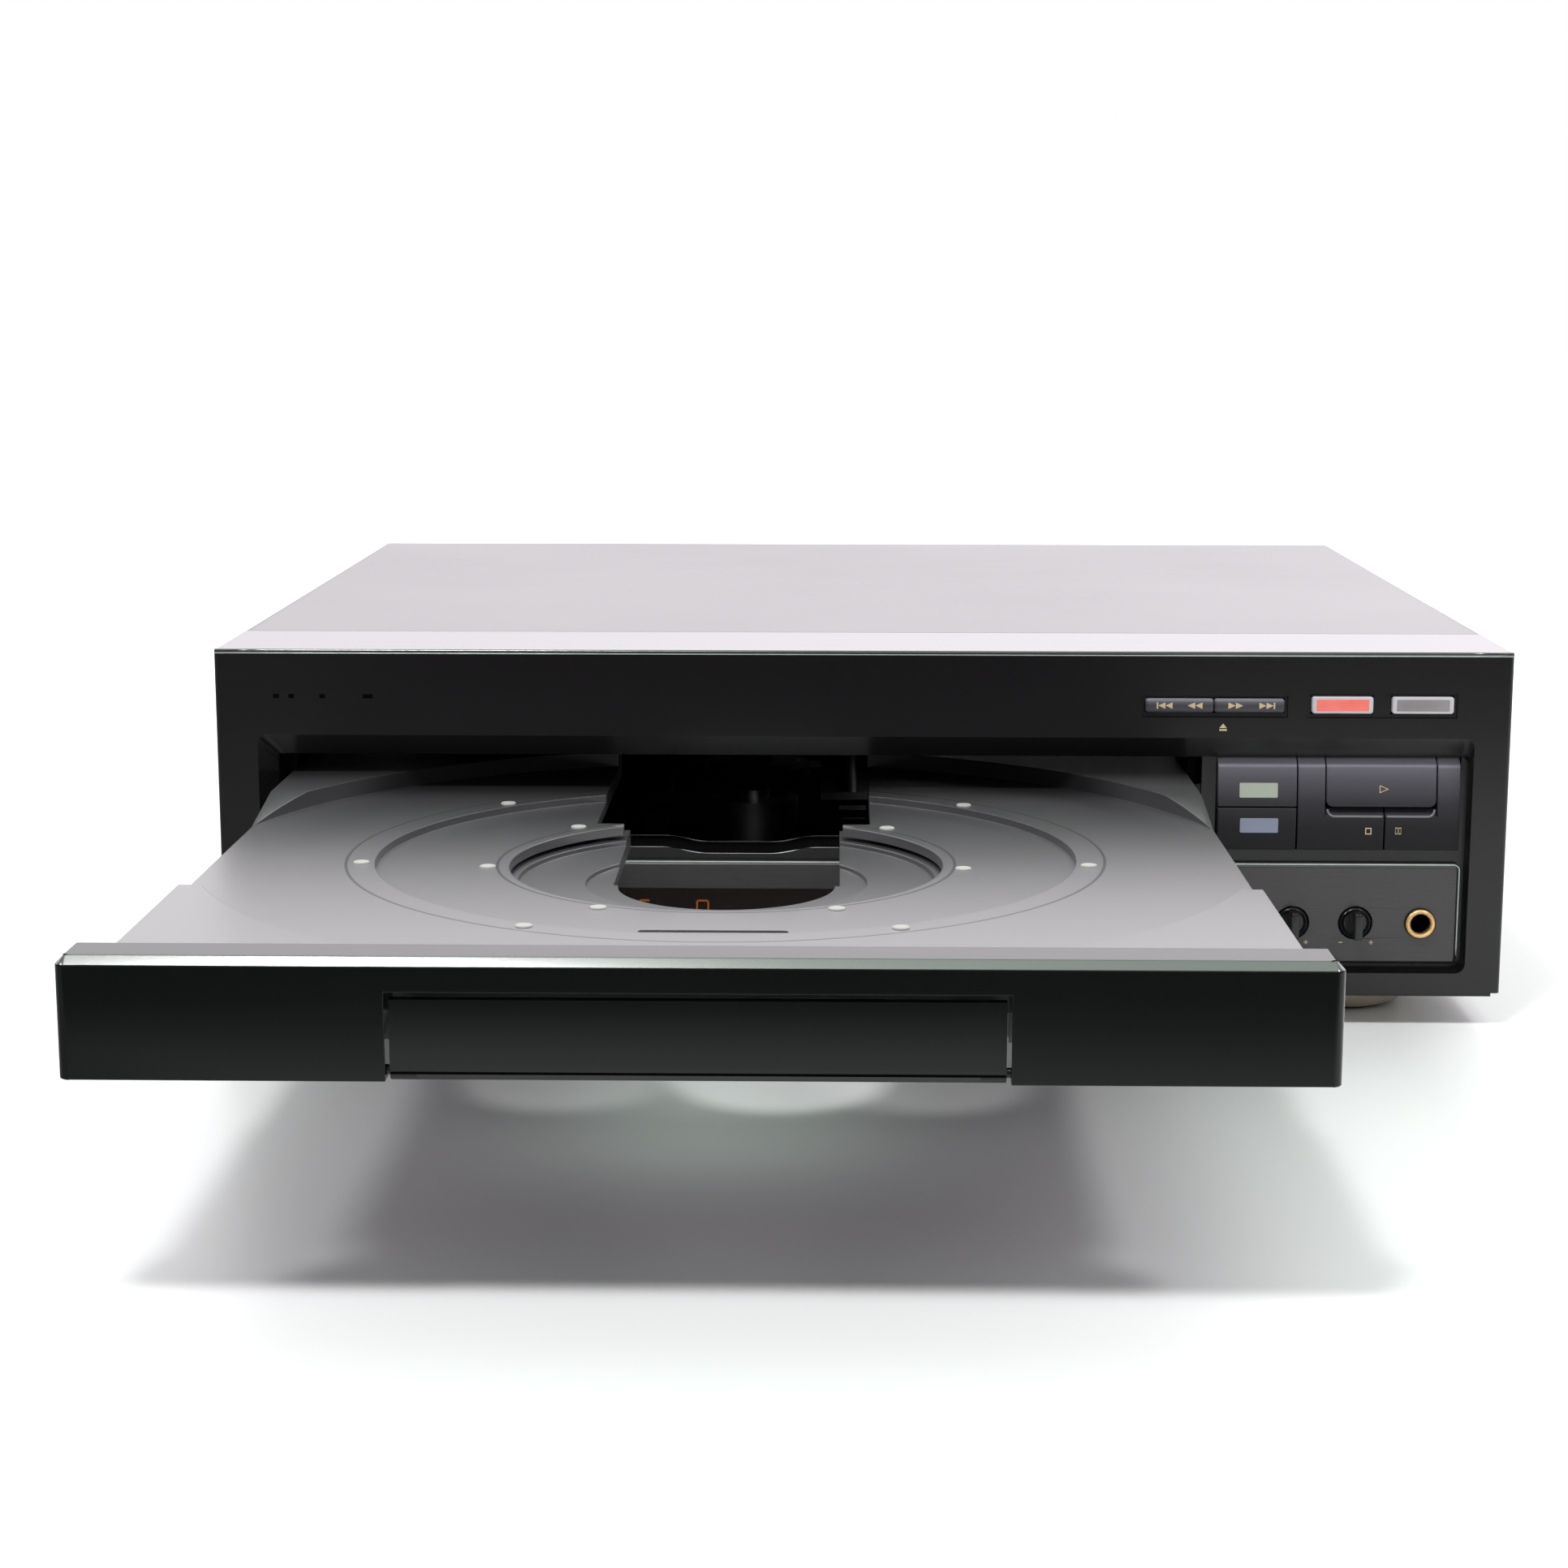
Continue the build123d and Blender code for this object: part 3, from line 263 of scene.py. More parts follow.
def keyMaterial():
    # key plastic with painted light and shade: its tone rises with height, as the light from above falls on it, with
    # painted highlight bands near the tops of the rows; colour = tone(z) * tint
    material = grainMaterial("keySlatePaintedLight", (0.05, 0.05, 0.05), (0.05, 0.05, 0.05), (0.30, 0.38), grain=1800.0,
                             height=0.03, **{"Specular IOR Level": 0.2})
    tree, group = material.node_tree, nodeOf(material, "GROUP")
    foot, top = keyPaintedLight[0][0], keyPaintedLight[-1][0]
    height = axisOf(tree, nodeOf(material, "TEX_COORD").outputs["Object"], "Z")
    ramp = tree.nodes.new("ShaderNodeValToRGB")
    wire(tree, mapRange(tree, height, foot * mm, top * mm, smooth=False), ramp.inputs["Fac"])
    stops = ramp.color_ramp.elements
    for number, (level, tone) in enumerate(keyPaintedLight):
        at = (level - foot) / (top - foot)
        stop = stops[number] if number < 2 else stops.new(at)
        stop.position = at
        stop.color = (*(tone * tint for tint in keyTint), 1)
    for label in ("Colour", "Second Colour"):
        wire(tree, ramp.outputs["Color"], group.inputs[label])
    return material


trayMarks = {"rings": (0.1097, 0.0665), "width": 0.00045, "dark": (0.002, 0.002, 0.002, 1),
             "paintedShadeFrom": -0.062, "paintedShadeTo": -0.036, "paintedShade": 0.22}


def trayMaterial():
    # grained tray plastic with two hairline circles let into it, and painted shade on its rear edge
    material = grainMaterial("trayPlastic", (0.047, 0.044, 0.050), (0.055, 0.052, 0.058), (0.41, 0.45),
                             grain=1500.0, height=0.04, cloud=14.0,
                             **{"Specular IOR Level": 1.0, "Coat Weight": 1.0, "Coat Roughness": 0.33})
    tree, shader = material.node_tree, nodeOf(material, "BSDF_PRINCIPLED")
    place = nodeOf(material, "TEX_COORD").outputs["Object"]
    total = 0.0
    for radius in trayMarks["rings"]:
        ring = tree.nodes.new("ShaderNodeGroup")
        ring.node_tree = ringGroup
        for label, value in (("Vector", place), ("Radius", radius), ("Width", trayMarks["width"]),
                             ("Centre", (player["trayMiddle"] * mm, player["discMiddle"] * mm, 0))):
            wire(tree, value, ring.inputs[label])
        total = mathNode(tree, "MAXIMUM", total, ring.outputs["Mask"])
    colour = shader.inputs["Base Color"].links[0].from_socket
    rough = shader.inputs["Roughness"].links[0].from_socket
    # painted shade on the rear edge, which never leaves the slot: a factor of 1 in front falls to the shaded level at
    # the rear, darkening the colour and lowering specular and coat
    paintedShade = mapRange(tree, axisOf(tree, place, "Y"), trayMarks["paintedShadeFrom"], trayMarks["paintedShadeTo"], 1.0, trayMarks["paintedShade"])
    ringsAndShade = mathNode(tree, "MAXIMUM", total, mathNode(tree, "SUBTRACT", 1.0, paintedShade))
    wire(tree, mixColour(tree, ringsAndShade, colour, trayMarks["dark"]), shader.inputs["Base Color"])
    wire(tree, mathNode(tree, "MAXIMUM", rough, total), shader.inputs["Roughness"])
    for label in ("Specular IOR Level", "Coat Weight"):
        wire(tree, paintedShade, shader.inputs[label])
    return material


finish = {
    "caseBlack": grainMaterial("caseBlack", (0.030, 0.027, 0.031), (0.040, 0.036, 0.042), (0.22, 0.30),
                               grain=2600.0, height=0.02, cloud=6.0, **{"Coat Weight": 0.5, "Coat Roughness": 0.16}),
    "panelBlack": brushedMaterial("panelBlack", (0.0052, 0.0044, 0.0052), (0.0066, 0.0056, 0.0065),
                                  (0.25, 0.27), lines=2600.0, height=0.01,
                                  **{"Specular IOR Level": 0.36, "Coat Weight": 0.25, "Coat Roughness": 0.18}),
    "fasciaBlack": brushedMaterial("fasciaBlack", (0.0295, 0.0275, 0.0285), (0.0325, 0.0305, 0.0315),
                                   (0.27, 0.29), lines=2600.0, height=0.01,
                                   **{"Coat Weight": 0.3, "Coat Roughness": 0.2}),
    "deckPaintedSheen": brushedMaterial("deckPaintedSheen", (0.055, 0.050, 0.058), (0.072, 0.066, 0.075), (0.18, 0.26), lines=1500.0,
                                 height=0.02, **{"Coat Weight": 1.0, "Coat Roughness": 0.14}),
    # pale, greenish tubes along dark edges: painted highlight
    "paintedEdgeHighlight": grainMaterial("paintedEdgeHighlight", (0.40, 0.46, 0.42), (0.46, 0.53, 0.48), (0.12, 0.18),
                               grain=900.0, height=0.01, **{"Specular IOR Level": 0.9, "Coat Weight": 1.0,
                                                           "Coat Roughness": 0.08}),
    "doorGloss": grainMaterial("doorGloss", (0.0028, 0.0036, 0.0034), (0.0034, 0.0042, 0.0040), (0.08, 0.13),
                               grain=700.0, height=0.01, **{"Specular IOR Level": 0.25, "Coat Weight": 0.1,
                                                           "Coat Roughness": 0.05}),
    # a lighter, greenish copy of the door finish for edges that look up: painted reflection
    "doorEdgePaintedSheen": grainMaterial("doorEdgePaintedSheen", (0.014, 0.018, 0.016), (0.018, 0.023, 0.020), (0.22, 0.28),
                              grain=900.0, height=0.01, **{"Specular IOR Level": 1.0, "Coat Weight": 1.0,
                                                          "Coat Roughness": 0.16}),
    "trayPlastic": trayMaterial(),
    "padCream": grainMaterial("padCream", (0.38, 0.37, 0.355), (0.45, 0.44, 0.42), (0.6, 0.8),
                              grain=2200.0, height=0.4),
    "keySlatePaintedLight": keyMaterial(),
    "keyLipPaintedHighlight": grainMaterial("keyLipPaintedHighlight", (0.13, 0.125, 0.145), (0.16, 0.154, 0.178), (0.16, 0.24), grain=1800.0,
                            height=0.01, **{"Coat Weight": 0.6, "Coat Roughness": 0.08}),
    "knobGloss": grainMaterial("knobGloss", (0.006, 0.006, 0.007), (0.008, 0.008, 0.009), (0.12, 0.2),
                               grain=900.0, height=0.03),
    "gilt": grainMaterial("gilt", (0.80, 0.47, 0.17), (0.88, 0.56, 0.24), (0.24, 0.34), grain=900.0, height=0.03,
                          Metallic=0.55),
    "champagne": grainMaterial("champagne", (0.46, 0.40, 0.31), (0.52, 0.46, 0.36), (0.28, 0.38), grain=1400.0,
                               height=0.12, Metallic=0.35),
    "rubber": grainMaterial("rubber", (0.02, 0.02, 0.02), (0.03, 0.03, 0.03), (0.7, 0.9), grain=1500.0, height=0.5),
    "zincSteel": grainMaterial("zincSteel", (0.50, 0.51, 0.49), (0.62, 0.63, 0.60), (0.3, 0.5), grain=500.0,
                               height=0.1, cloud=40.0, Metallic=0.9),
    "sprayedSteel": grainMaterial("sprayedSteel", (0.014, 0.014, 0.015), (0.02, 0.02, 0.021), (0.45, 0.6),
                                  grain=1800.0, height=0.35),
    "framePlasticAndShade": grainMaterial("framePlasticAndShade", (0.006, 0.006, 0.007), (0.009, 0.009, 0.010), (0.4, 0.55),
                                  grain=1500.0, height=0.2, **{"Specular IOR Level": 0.2}),
    "nylon": grainMaterial("nylon", (0.72, 0.70, 0.63), (0.78, 0.76, 0.69), (0.35, 0.5), grain=900.0, height=0.1),
    "motorCan": grainMaterial("motorCan", (0.55, 0.55, 0.54), (0.66, 0.66, 0.64), (0.25, 0.4), grain=700.0,
                              height=0.08, cloud=60.0, Metallic=1.0),
    "coreSteel": brushedMaterial("coreSteel", (0.16, 0.16, 0.17), (0.25, 0.25, 0.26), (0.4, 0.6), lines=900.0,
                                 height=0.5, Metallic=0.7),
    "boardGreen": grainMaterial("boardGreen", (0.05, 0.19, 0.08), (0.08, 0.26, 0.12), (0.35, 0.5), grain=400.0,
                                height=0.15, cloud=120.0),
    "printGold": grainMaterial("printGold", (0.55, 0.42, 0.26), (0.62, 0.48, 0.30), (0.4, 0.55), grain=1500.0,
                               height=0.05),
    "printSilver": grainMaterial("printSilver", (0.34, 0.36, 0.36), (0.44, 0.46, 0.45), (0.25, 0.4), grain=1500.0,
                                 height=0.05, Metallic=0.4),
    "plateGreen": grainMaterial("plateGreen", (0.36, 0.40, 0.33), (0.42, 0.46, 0.38), (0.25, 0.35), grain=900.0,
                                height=0.05),
    "plateBlue": grainMaterial("plateBlue", (0.19, 0.21, 0.29), (0.24, 0.26, 0.35), (0.25, 0.35), grain=900.0,
                               height=0.05),
    "windowSmoke": grainMaterial("windowSmoke", (0.010, 0.006, 0.005), (0.014, 0.008, 0.006), (0.05, 0.09),
                                 grain=600.0, height=0.01, Alpha=0.62),
    "windowDark": grainMaterial("windowDark", (0.0010, 0.0010, 0.0010), (0.0014, 0.0014, 0.0014), (0.22, 0.30),
                                grain=600.0, height=0.01, **{"Specular IOR Level": 0.08}),
    "tubeGlass": grainMaterial("tubeGlass", (0.012, 0.012, 0.012), (0.018, 0.018, 0.018), (0.1, 0.2), grain=500.0,
                               height=0.02),
    "lensGlass": grainMaterial("lensGlass", (0.08, 0.13, 0.28), (0.14, 0.20, 0.34), (0.03, 0.06), grain=600.0,
                               height=0.01, cloud=300.0),
    "litAmber": grainMaterial("litAmber", (0.30, 0.06, 0.01), (0.36, 0.08, 0.01), (0.4, 0.6), grain=900.0,
                              height=0.02, cloud=200.0),
    "litRed": grainMaterial("litRed", (0.62, 0.085, 0.06), (0.80, 0.27, 0.24), (0.16, 0.26), grain=900.0,
                            height=0.03, cloud=90.0),
    "clearRimPaintedHighlight": grainMaterial("clearRimPaintedHighlight", (0.50, 0.48, 0.51), (0.60, 0.58, 0.61), (0.08, 0.14), grain=900.0,
                              height=0.02, cloud=60.0),
    "clearGrey": grainMaterial("clearGrey", (0.19, 0.175, 0.185), (0.36, 0.335, 0.345), (0.12, 0.2), grain=900.0,
                               height=0.03, cloud=90.0),
}
glow = {"litAmber": ((1.0, 0.25, 0.04, 1), 1.6), "litRed": ((1.0, 0.16, 0.12, 1), 0.22)}
for name, (colour, strength) in glow.items():
    setShader(nodeOf(finish[name], "BSDF_PRINCIPLED"), {"Emission Color": colour, "Emission Strength": strength})
print("materials made:", len(finish))

nodeFinish = {
    "caseBlack": ("top_cover",),
    "panelBlack": ("front_panel",),
    "fasciaBlack": ("lower_panel",),
    "doorGloss": ("tray_door", "cd_flap"),
    "trayPlastic": ("ld_tray", "tray_channels", "cd_tray"),
    "padCream": ("outer_pads", "inner_pads"),
    "keySlatePaintedLight": ("disc_key", "small_disc_key", "play_key", "stop_key", "pause_key", "skip_back_key",
                 "skip_forward_key", "power_key"),
    "knobGloss": ("echo_knob", "mic_knob"),
    "gilt": ("phono_jacks",),
    "champagne": ("front_feet",),
    "rubber": ("foot_pads", "loading_belt"),
    "zincSteel": ("chassis_base",),
    "sprayedSteel": ("rear_panel", "cover_screws", "rear_feet"),
    # near-black plastic; on the clamp bridge, guide rods and turntable, deep in the slot, it stands for the shade
    # there: painted shade
    "framePlasticAndShade": ("clamp_bridge", "guide_rods", "mic_jack", "turntable", "mechanism_frame", "lift_deck",
                     "jack_block", "ac_inlet", "disc_clamp", "pickup_carriage", "tray_rack"),
    "nylon": ("loading_gear", "belt_gear", "motor_pulley", "feed_gear"),
    "motorCan": ("loading_motor", "spindle_motor", "feed_motor", "heat_sink"),
    "coreSteel": ("power_transformer",),
    "boardGreen": ("main_board", "power_board", "front_board", "display_board", "control_pots"),
    "windowSmoke": ("display_window",),
    "windowDark": ("sensor_windows",),
    "tubeGlass": ("display_tube",),
    "lensGlass": ("pickup_lens",),
    "litRed": ("side_one_key",),
    "clearGrey": ("side_two_key",),
}


def dressNodes():
    # each CAD node gets its finish
    for name, nodes in nodeFinish.items():
        for node in nodes:
            mesh = frame["nodes"][node].data
            mesh.materials.clear()
            mesh.materials.append(finish[name])


dressNodes()


def dressFaces(mesh, material, chosen):
    # the faces that `chosen` is true for get a finish of their own
    mesh.materials.append(finish[material])
    for face in mesh.polygons:
        if chosen(face):
            face.material_index = 1


deckLevel = 123.0


def dressDeck():
    # the level top faces of the front panel, above deckLevel, get a glossier coat and a lighter colour than its face:
    # painted sheen where they look up
    dressFaces(frame["nodes"]["front_panel"].data, "deckPaintedSheen",
               lambda face: face.normal.z > 0.9 and face.center.z > deckLevel * mm)


dressDeck()
print("CAD nodes dressed")

# ---------- mesh helpers ----------
bodyOf = {node: body for body, nodes in frame["record"]["behaviour"]["bodies"].items() for node in nodes}


def meshPiece(name, points, faces, material, body, smooth=True, replaces=()):
    # points in millimetres; faces as lists of indices
    mesh = bpy.data.meshes.new(name)
    mesh.from_pydata((np.asarray(points, dtype=float) * mm).tolist(), [], faces)
    mesh.update()
    piece = bpy.data.objects.new(name, mesh)
    bpy.context.collection.objects.link(piece)
    mesh.materials.append(finish[material])
    mesh.polygons.foreach_set("use_smooth", np.full(len(mesh.polygons), smooth))
    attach(piece, body)
    if replaces:
        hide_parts(*replaces)
    return piece


def ringFaces(rings, count, closed=True, caps=(True, True)):
    # quads between following rings of `count` points each, and an n-gon at each end that is asked for
    around = np.arange(count if closed else count - 1)
    following = (around + 1) % count
    faces = []
    for ring in range(rings - 1):
        low, high = ring * count, (ring + 1) * count
        faces += np.stack([low + around, low + following, high + following, high + around], 1).tolist()
    if caps[0]:
        faces.append(list(range(count - 1, -1, -1)))
    if caps[1]:
        faces.append(list(range((rings - 1) * count, rings * count)))
    return faces


def roundedRectangle(left, right, low, high, radius, steps=6):
    # corner arcs one after another, as (x, z) rows, counter-clockwise seen from the front
    quarter = np.linspace(0, math.pi / 2, steps)
    centres = ((right - radius, high - radius, 0), (left + radius, high - radius, 1),
               (left + radius, low + radius, 2), (right - radius, low + radius, 3))
    rows = [np.stack([x + radius * np.cos(quarter + turn * math.pi / 2),
                      z + radius * np.sin(quarter + turn * math.pi / 2)], 1) for x, z, turn in centres]
    return np.concatenate(rows)


def outwards(piece):
    # faces turned outwards after doubles are merged
    work = bmesh.new()
    work.from_mesh(piece.data)
    bmesh.ops.remove_doubles(work, verts=work.verts, dist=1e-7)
    bmesh.ops.recalc_face_normals(work, faces=work.faces)
    work.to_mesh(piece.data)
    work.free()
    return piece


def sharpen(piece, angle):
    # edges steeper than the angle are drawn hard
    work = bmesh.new()
    work.from_mesh(piece.data)
    for edge in work.edges:
        edge.smooth = len(edge.link_faces) == 2 and edge.calc_face_angle(0.0) < angle
    for face in work.faces:
        face.smooth = True
    work.to_mesh(piece.data)
    work.free()


def softEdged(node, width, material, steps=3, angle=32.0, flat=0.5, shape=None):
    # a copy of a moulding with every sharp edge rounded to a small radius, shaped first if asked
    source = frame["nodes"][node]
    work = bmesh.new()
    work.from_mesh(source.data)
    bmesh.ops.remove_doubles(work, verts=work.verts, dist=2e-6)
    bmesh.ops.join_triangles(work, faces=work.faces, angle_face_threshold=math.radians(flat),
                             angle_shape_threshold=math.radians(180))
    if shape:
        shape(work)
    mesh = bpy.data.meshes.new(node + "Skin")
    work.to_mesh(mesh)
    work.free()
    piece = bpy.data.objects.new(node + "Skin", mesh)
    bpy.context.collection.objects.link(piece)
    mesh.materials.clear()
    mesh.materials.append(finish[material])
    if "custom_normal" in mesh.attributes:
        mesh.attributes.remove(mesh.attributes["custom_normal"])
    mesh.polygons.foreach_set("use_smooth", np.ones(len(mesh.polygons), dtype=bool))
    bevel = piece.modifiers.new("roundedEdges", "BEVEL")
    bevel.width = width * mm
    bevel.segments = steps
    bevel.limit_method = "ANGLE"
    bevel.angle_limit = math.radians(angle)
    # the bevels of the flap, whose slant is narrow, stop where they would cross
    bevel.use_clamp_overlap = shape is chamferFlap
    # the flat faces keep their own normals, so that only the rounded edges shade round
    weigh = piece.modifiers.new("flatFaces", "WEIGHTED_NORMAL")
    weigh.mode = "FACE_AREA"
    weigh.weight = 100
    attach(piece, bodyOf[node])
    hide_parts(node)
    return piece


def cutLevels(work, heights):
    # level cuts through a moulding, so that its faces can be bent there
    for z in heights:
        bmesh.ops.bisect_plane(work, geom=work.verts[:] + work.edges[:] + work.faces[:],
                               plane_co=(0, 0, z * mm), plane_no=(0, 0, 1), dist=1e-6)


crown = {"level": 66.0, "bend": 0.0042, "levels": np.arange(60.0, 88.1, 2.0)}


def crownAt(z):
    # how far a bowed key face lies back: bend * (z - level)^2
    return crown["bend"] * (z - crown["level"]) ** 2


def crownFace(work):
    # the key faces bow gently: the further from the level between the rows, the further back
    cutLevels(work, crown["levels"])
    for vert in work.verts:
        if vert.co.y < back(8) * mm:
            vert.co.y += crownAt(vert.co.z / mm) * mm


playCorners = {"middle": 169.55, "reach": 17.0, "top": 74.0, "radius": 2.2, "even": 1e-5}


def roundPlayKey(work):
    # the lower corners of the play key are round: edges that run straight back from its two low corners
    corners = []
    for edge in work.edges:
        first, second = (vert.co for vert in edge.verts)
        level = abs(first.x - second.x) < playCorners["even"] and abs(first.z - second.z) < playCorners["even"]
        outer = abs(first.x / mm - playCorners["middle"]) > playCorners["reach"]
        if level and outer and first.z < playCorners["top"] * mm and min(first.y, second.y) < back(4) * mm:
            corners.append(edge)
    bmesh.ops.bevel(work, geom=corners, offset=playCorners["radius"] * mm, offset_type="OFFSET", segments=6,
                    profile=0.5, affect="EDGES")
    crownFace(work)


flapEdge = {"from": 61.9, "low": 58.7, "setBack": 1.9}


def chamferFlap(work):
    # the flap's lower front edge is cut back at a slant: by setBack * (from - z) / (from - low)
    cutLevels(work, (flapEdge["from"],))
    for vert in work.verts:
        z = vert.co.z / mm
        if vert.co.y < (player["doorFace"] + 0.2) * mm and z < flapEdge["from"] - 0.01:
            vert.co.y += flapEdge["setBack"] * (flapEdge["from"] - z) / (flapEdge["from"] - flapEdge["low"]) * mm


holeEdge = {"reach": (62.5, 63.3), "height": (73.4, 74.3), "below": 0.3}


def flattenHole(work):
    # the bevel round the hole in the tray is shallow: its lower ring comes up to a little below the recess
    for vert in work.verts:
        x, y, z = vert.co / mm
        reach = math.hypot(x - player["trayMiddle"], y - player["discMiddle"])
        if holeEdge["reach"][0] < reach < holeEdge["reach"][1] and holeEdge["height"][0] < z < holeEdge["height"][1]:
            vert.co.z = (player["smallRecess"] - holeEdge["below"]) * mm


coverFront = {"depth": back(47.6), "above": 124.4, "height": 124.24}


def lowerCoverFront(work):
    # the cover meets the deck of the front panel without a step: its front edge comes down to the deck
    for vert in work.verts:
        if vert.co.y < coverFront["depth"] * mm and vert.co.z > coverFront["above"] * mm:
            vert.co.z = coverFront["height"] * mm


# ---------- mouldings with rounded edges ----------
softEdges = {
    "lower_panel": (0.3, "fasciaBlack", None),
    "tray_door": (0.3, "doorGloss", None), "cd_flap": (0.14, "doorGloss", chamferFlap),
    "ld_tray": (0.22, "trayPlastic", flattenHole), "cd_tray": (0.3, "trayPlastic", None),
    "disc_key": (0.4, "keySlatePaintedLight", crownFace), "small_disc_key": (0.4, "keySlatePaintedLight", crownFace),
    "play_key": (0.45, "keySlatePaintedLight", roundPlayKey), "stop_key": (0.3, "keySlatePaintedLight", crownFace),
    "pause_key": (0.3, "keySlatePaintedLight", crownFace), "power_key": (0.3, "keySlatePaintedLight", None),
    "top_cover": (0.12, "caseBlack", lowerCoverFront),
}
for node, (width, material, shape) in softEdges.items():
    softEdged(node, width, material, shape=shape)


def dressDoorEdge():
    # the slanting upper edge of the door, whose faces look forward and up, mirrors the light above through a stronger
    # specular and coat, and takes a lighter, greenish copy of the door finish: painted reflection
    dressFaces(bpy.data.objects["tray_doorSkin"].data, "doorEdgePaintedSheen",
               lambda face: face.normal.y < -0.2 and face.normal.z > 0.2)


dressDoorEdge()
print("mouldings rounded:", len(softEdges))


# ---------- printed signs, plates and lit digits ----------


def bar(x, z, wide, high):
    # the four corners (x +- wide / 2, z +- high / 2)
    return np.array([(x - wide / 2, z - high / 2), (x + wide / 2, z - high / 2),
                     (x + wide / 2, z + high / 2), (x - wide / 2, z + high / 2)])


def arrow(x, z, wide, high, way):
    # a triangle whose point is `way` (-1 left, +1 right)
    return np.array([(x - way * wide / 2, z - high / 2), (x + way * wide / 2, z), (x - way * wide / 2, z + high / 2)])


def hollow(outline, stroke):
    # the four-sided strips of an outline drawn with a line of even width
    middle = outline.mean(0)
    inner = middle + (outline - middle) * (1 - stroke / np.abs(outline - middle).max())
    count = len(outline)
    return [np.array([outline[i], outline[(i + 1) % count], inner[(i + 1) % count], inner[i]])
            for i in range(count)]


def marks(name, shapes, face, material, body, proud=0.05, bowed=False):
    # flat shapes (x, z) given a small thickness that stands `proud` of the surface they are printed on
    points, faces = [], []
    for shape in shapes:
        start = len(points)
        count = len(shape)
        for y in (face + 0.05, face - proud):
            points += [(x, y + (crownAt(z) if bowed else 0.0), z) for x, z in shape]
        faces += [[start + i for i in one] for one in ringFaces(2, count)]
    return outwards(meshPiece(name, points, faces, material, body, smooth=False))


signs = {"high": 2.1, "rocker": (98.0, 107.6, 120.7, 130.6), "rockerHeight": 107.0, "rockerFace": -44.4,
         "eject": (117.0, 99.7), "play": (170.4, 78.9), "stop": (165.6, 65.1), "pause": (175.3, 65.2),
         "keyFace": -40.0, "ends": ((146.5, 0), (157.9, -1), (167.8, 1)), "endsHeight": 27.8}


def makeSigns():
    # every sign is bars and arrows round the places above, with sizes in millimetres
    high, z = signs["high"], signs["rockerHeight"]
    first, second, third, fourth = signs["rocker"]
    marks("skipBackSign", [bar(first - 2.5, z, 0.5, high), arrow(first - 1.1, z, 2.3, high, -1),
                           arrow(first + 1.2, z, 2.3, high, -1), arrow(second - 1.2, z, 2.4, high, -1),
                           arrow(second + 1.2, z, 2.4, high, -1)],
          signs["rockerFace"], "printGold", "skip_back_key_body")
    marks("skipForwardSign", [arrow(third - 1.2, z, 2.4, high, 1), arrow(third + 1.2, z, 2.4, high, 1),
                              arrow(fourth - 1.2, z, 2.3, high, 1), arrow(fourth + 1.1, z, 2.3, high, 1),
                              bar(fourth + 2.5, z, 0.5, high)],
          signs["rockerFace"], "printGold", "skip_forward_key_body")
    x, z = signs["eject"]
    marks("ejectSign", [np.array([(x - 1.2, z - 0.2), (x + 1.2, z - 0.2), (x, z + 1.25)]), bar(x, z - 0.85, 2.4, 0.6)],
          player["frontFace"], "printGold", "case")
    x, z = signs["play"]
    marks("playSign", hollow(arrow(x, z, 3.0, 2.6, 1), 0.5), signs["keyFace"], "printGold", "play_key_body",
          bowed=True)
    x, z = signs["stop"]
    marks("stopSign", hollow(bar(x, z, 2.0, 2.2), 0.32), signs["keyFace"], "printGold", "stop_key_body",
          bowed=True)
    x, z = signs["pause"]
    marks("pauseSign", hollow(bar(x - 0.55, z, 0.8, 2.2), 0.25) + hollow(bar(x + 0.55, z, 0.8, 2.2), 0.25),
          signs["keyFace"], "printGold", "pause_key_body", bowed=True)
    shapes = []
    for x, kind in signs["ends"]:
        shapes.append(bar(x, signs["endsHeight"], 1.3, 0.35))
        if kind >= 0:
            shapes.append(bar(x, signs["endsHeight"], 0.35, 1.3))
    marks("volumeEnds", shapes, signs["keyFace"], "printGold", "case")


makeSigns()

plates = {"disc_key": ((123.45, 135.85, 76.0, 80.8), "plateGreen"),
          "small_disc_key": ((123.8, 136.2, 64.45, 69.25), "plateBlue")}
for node, (span, material) in plates.items():
    marks(node + "Plate", [roundedRectangle(*span, 0.4)], signs["keyFace"], material, node + "_body",
          proud=0.12, bowed=True)

# ---------- lips round the play key ----------


def tube(name, path, radius, material, body, count=12):
    # rings of even radius carried along a path of (x, y, z) points, closed at both ends
    path = np.asarray(path, dtype=float)
    ahead = np.gradient(path, axis=0)
    ahead /= np.linalg.norm(ahead, axis=1)[:, None]
    side = np.cross(ahead, (0.0, 1.0, 0.0))
    side /= np.linalg.norm(side, axis=1)[:, None]
    up = np.cross(side, ahead)
    angles = np.linspace(0, 2 * math.pi, count, endpoint=False)
    points = []
    for middle, left, high in zip(path, side, up):
        points += [middle + radius * (math.cos(a) * left + math.sin(a) * high) for a in angles]
    return outwards(meshPiece(name, points, ringFaces(len(path), count), material, body))


lips = {"level": 69.9, "radius": 0.42, "curl": 2.2, "face": -39.75,
        "spans": {"stop_key": (152.2, 170.2, 1), "pause_key": (187.0, 171.4, -1)}}


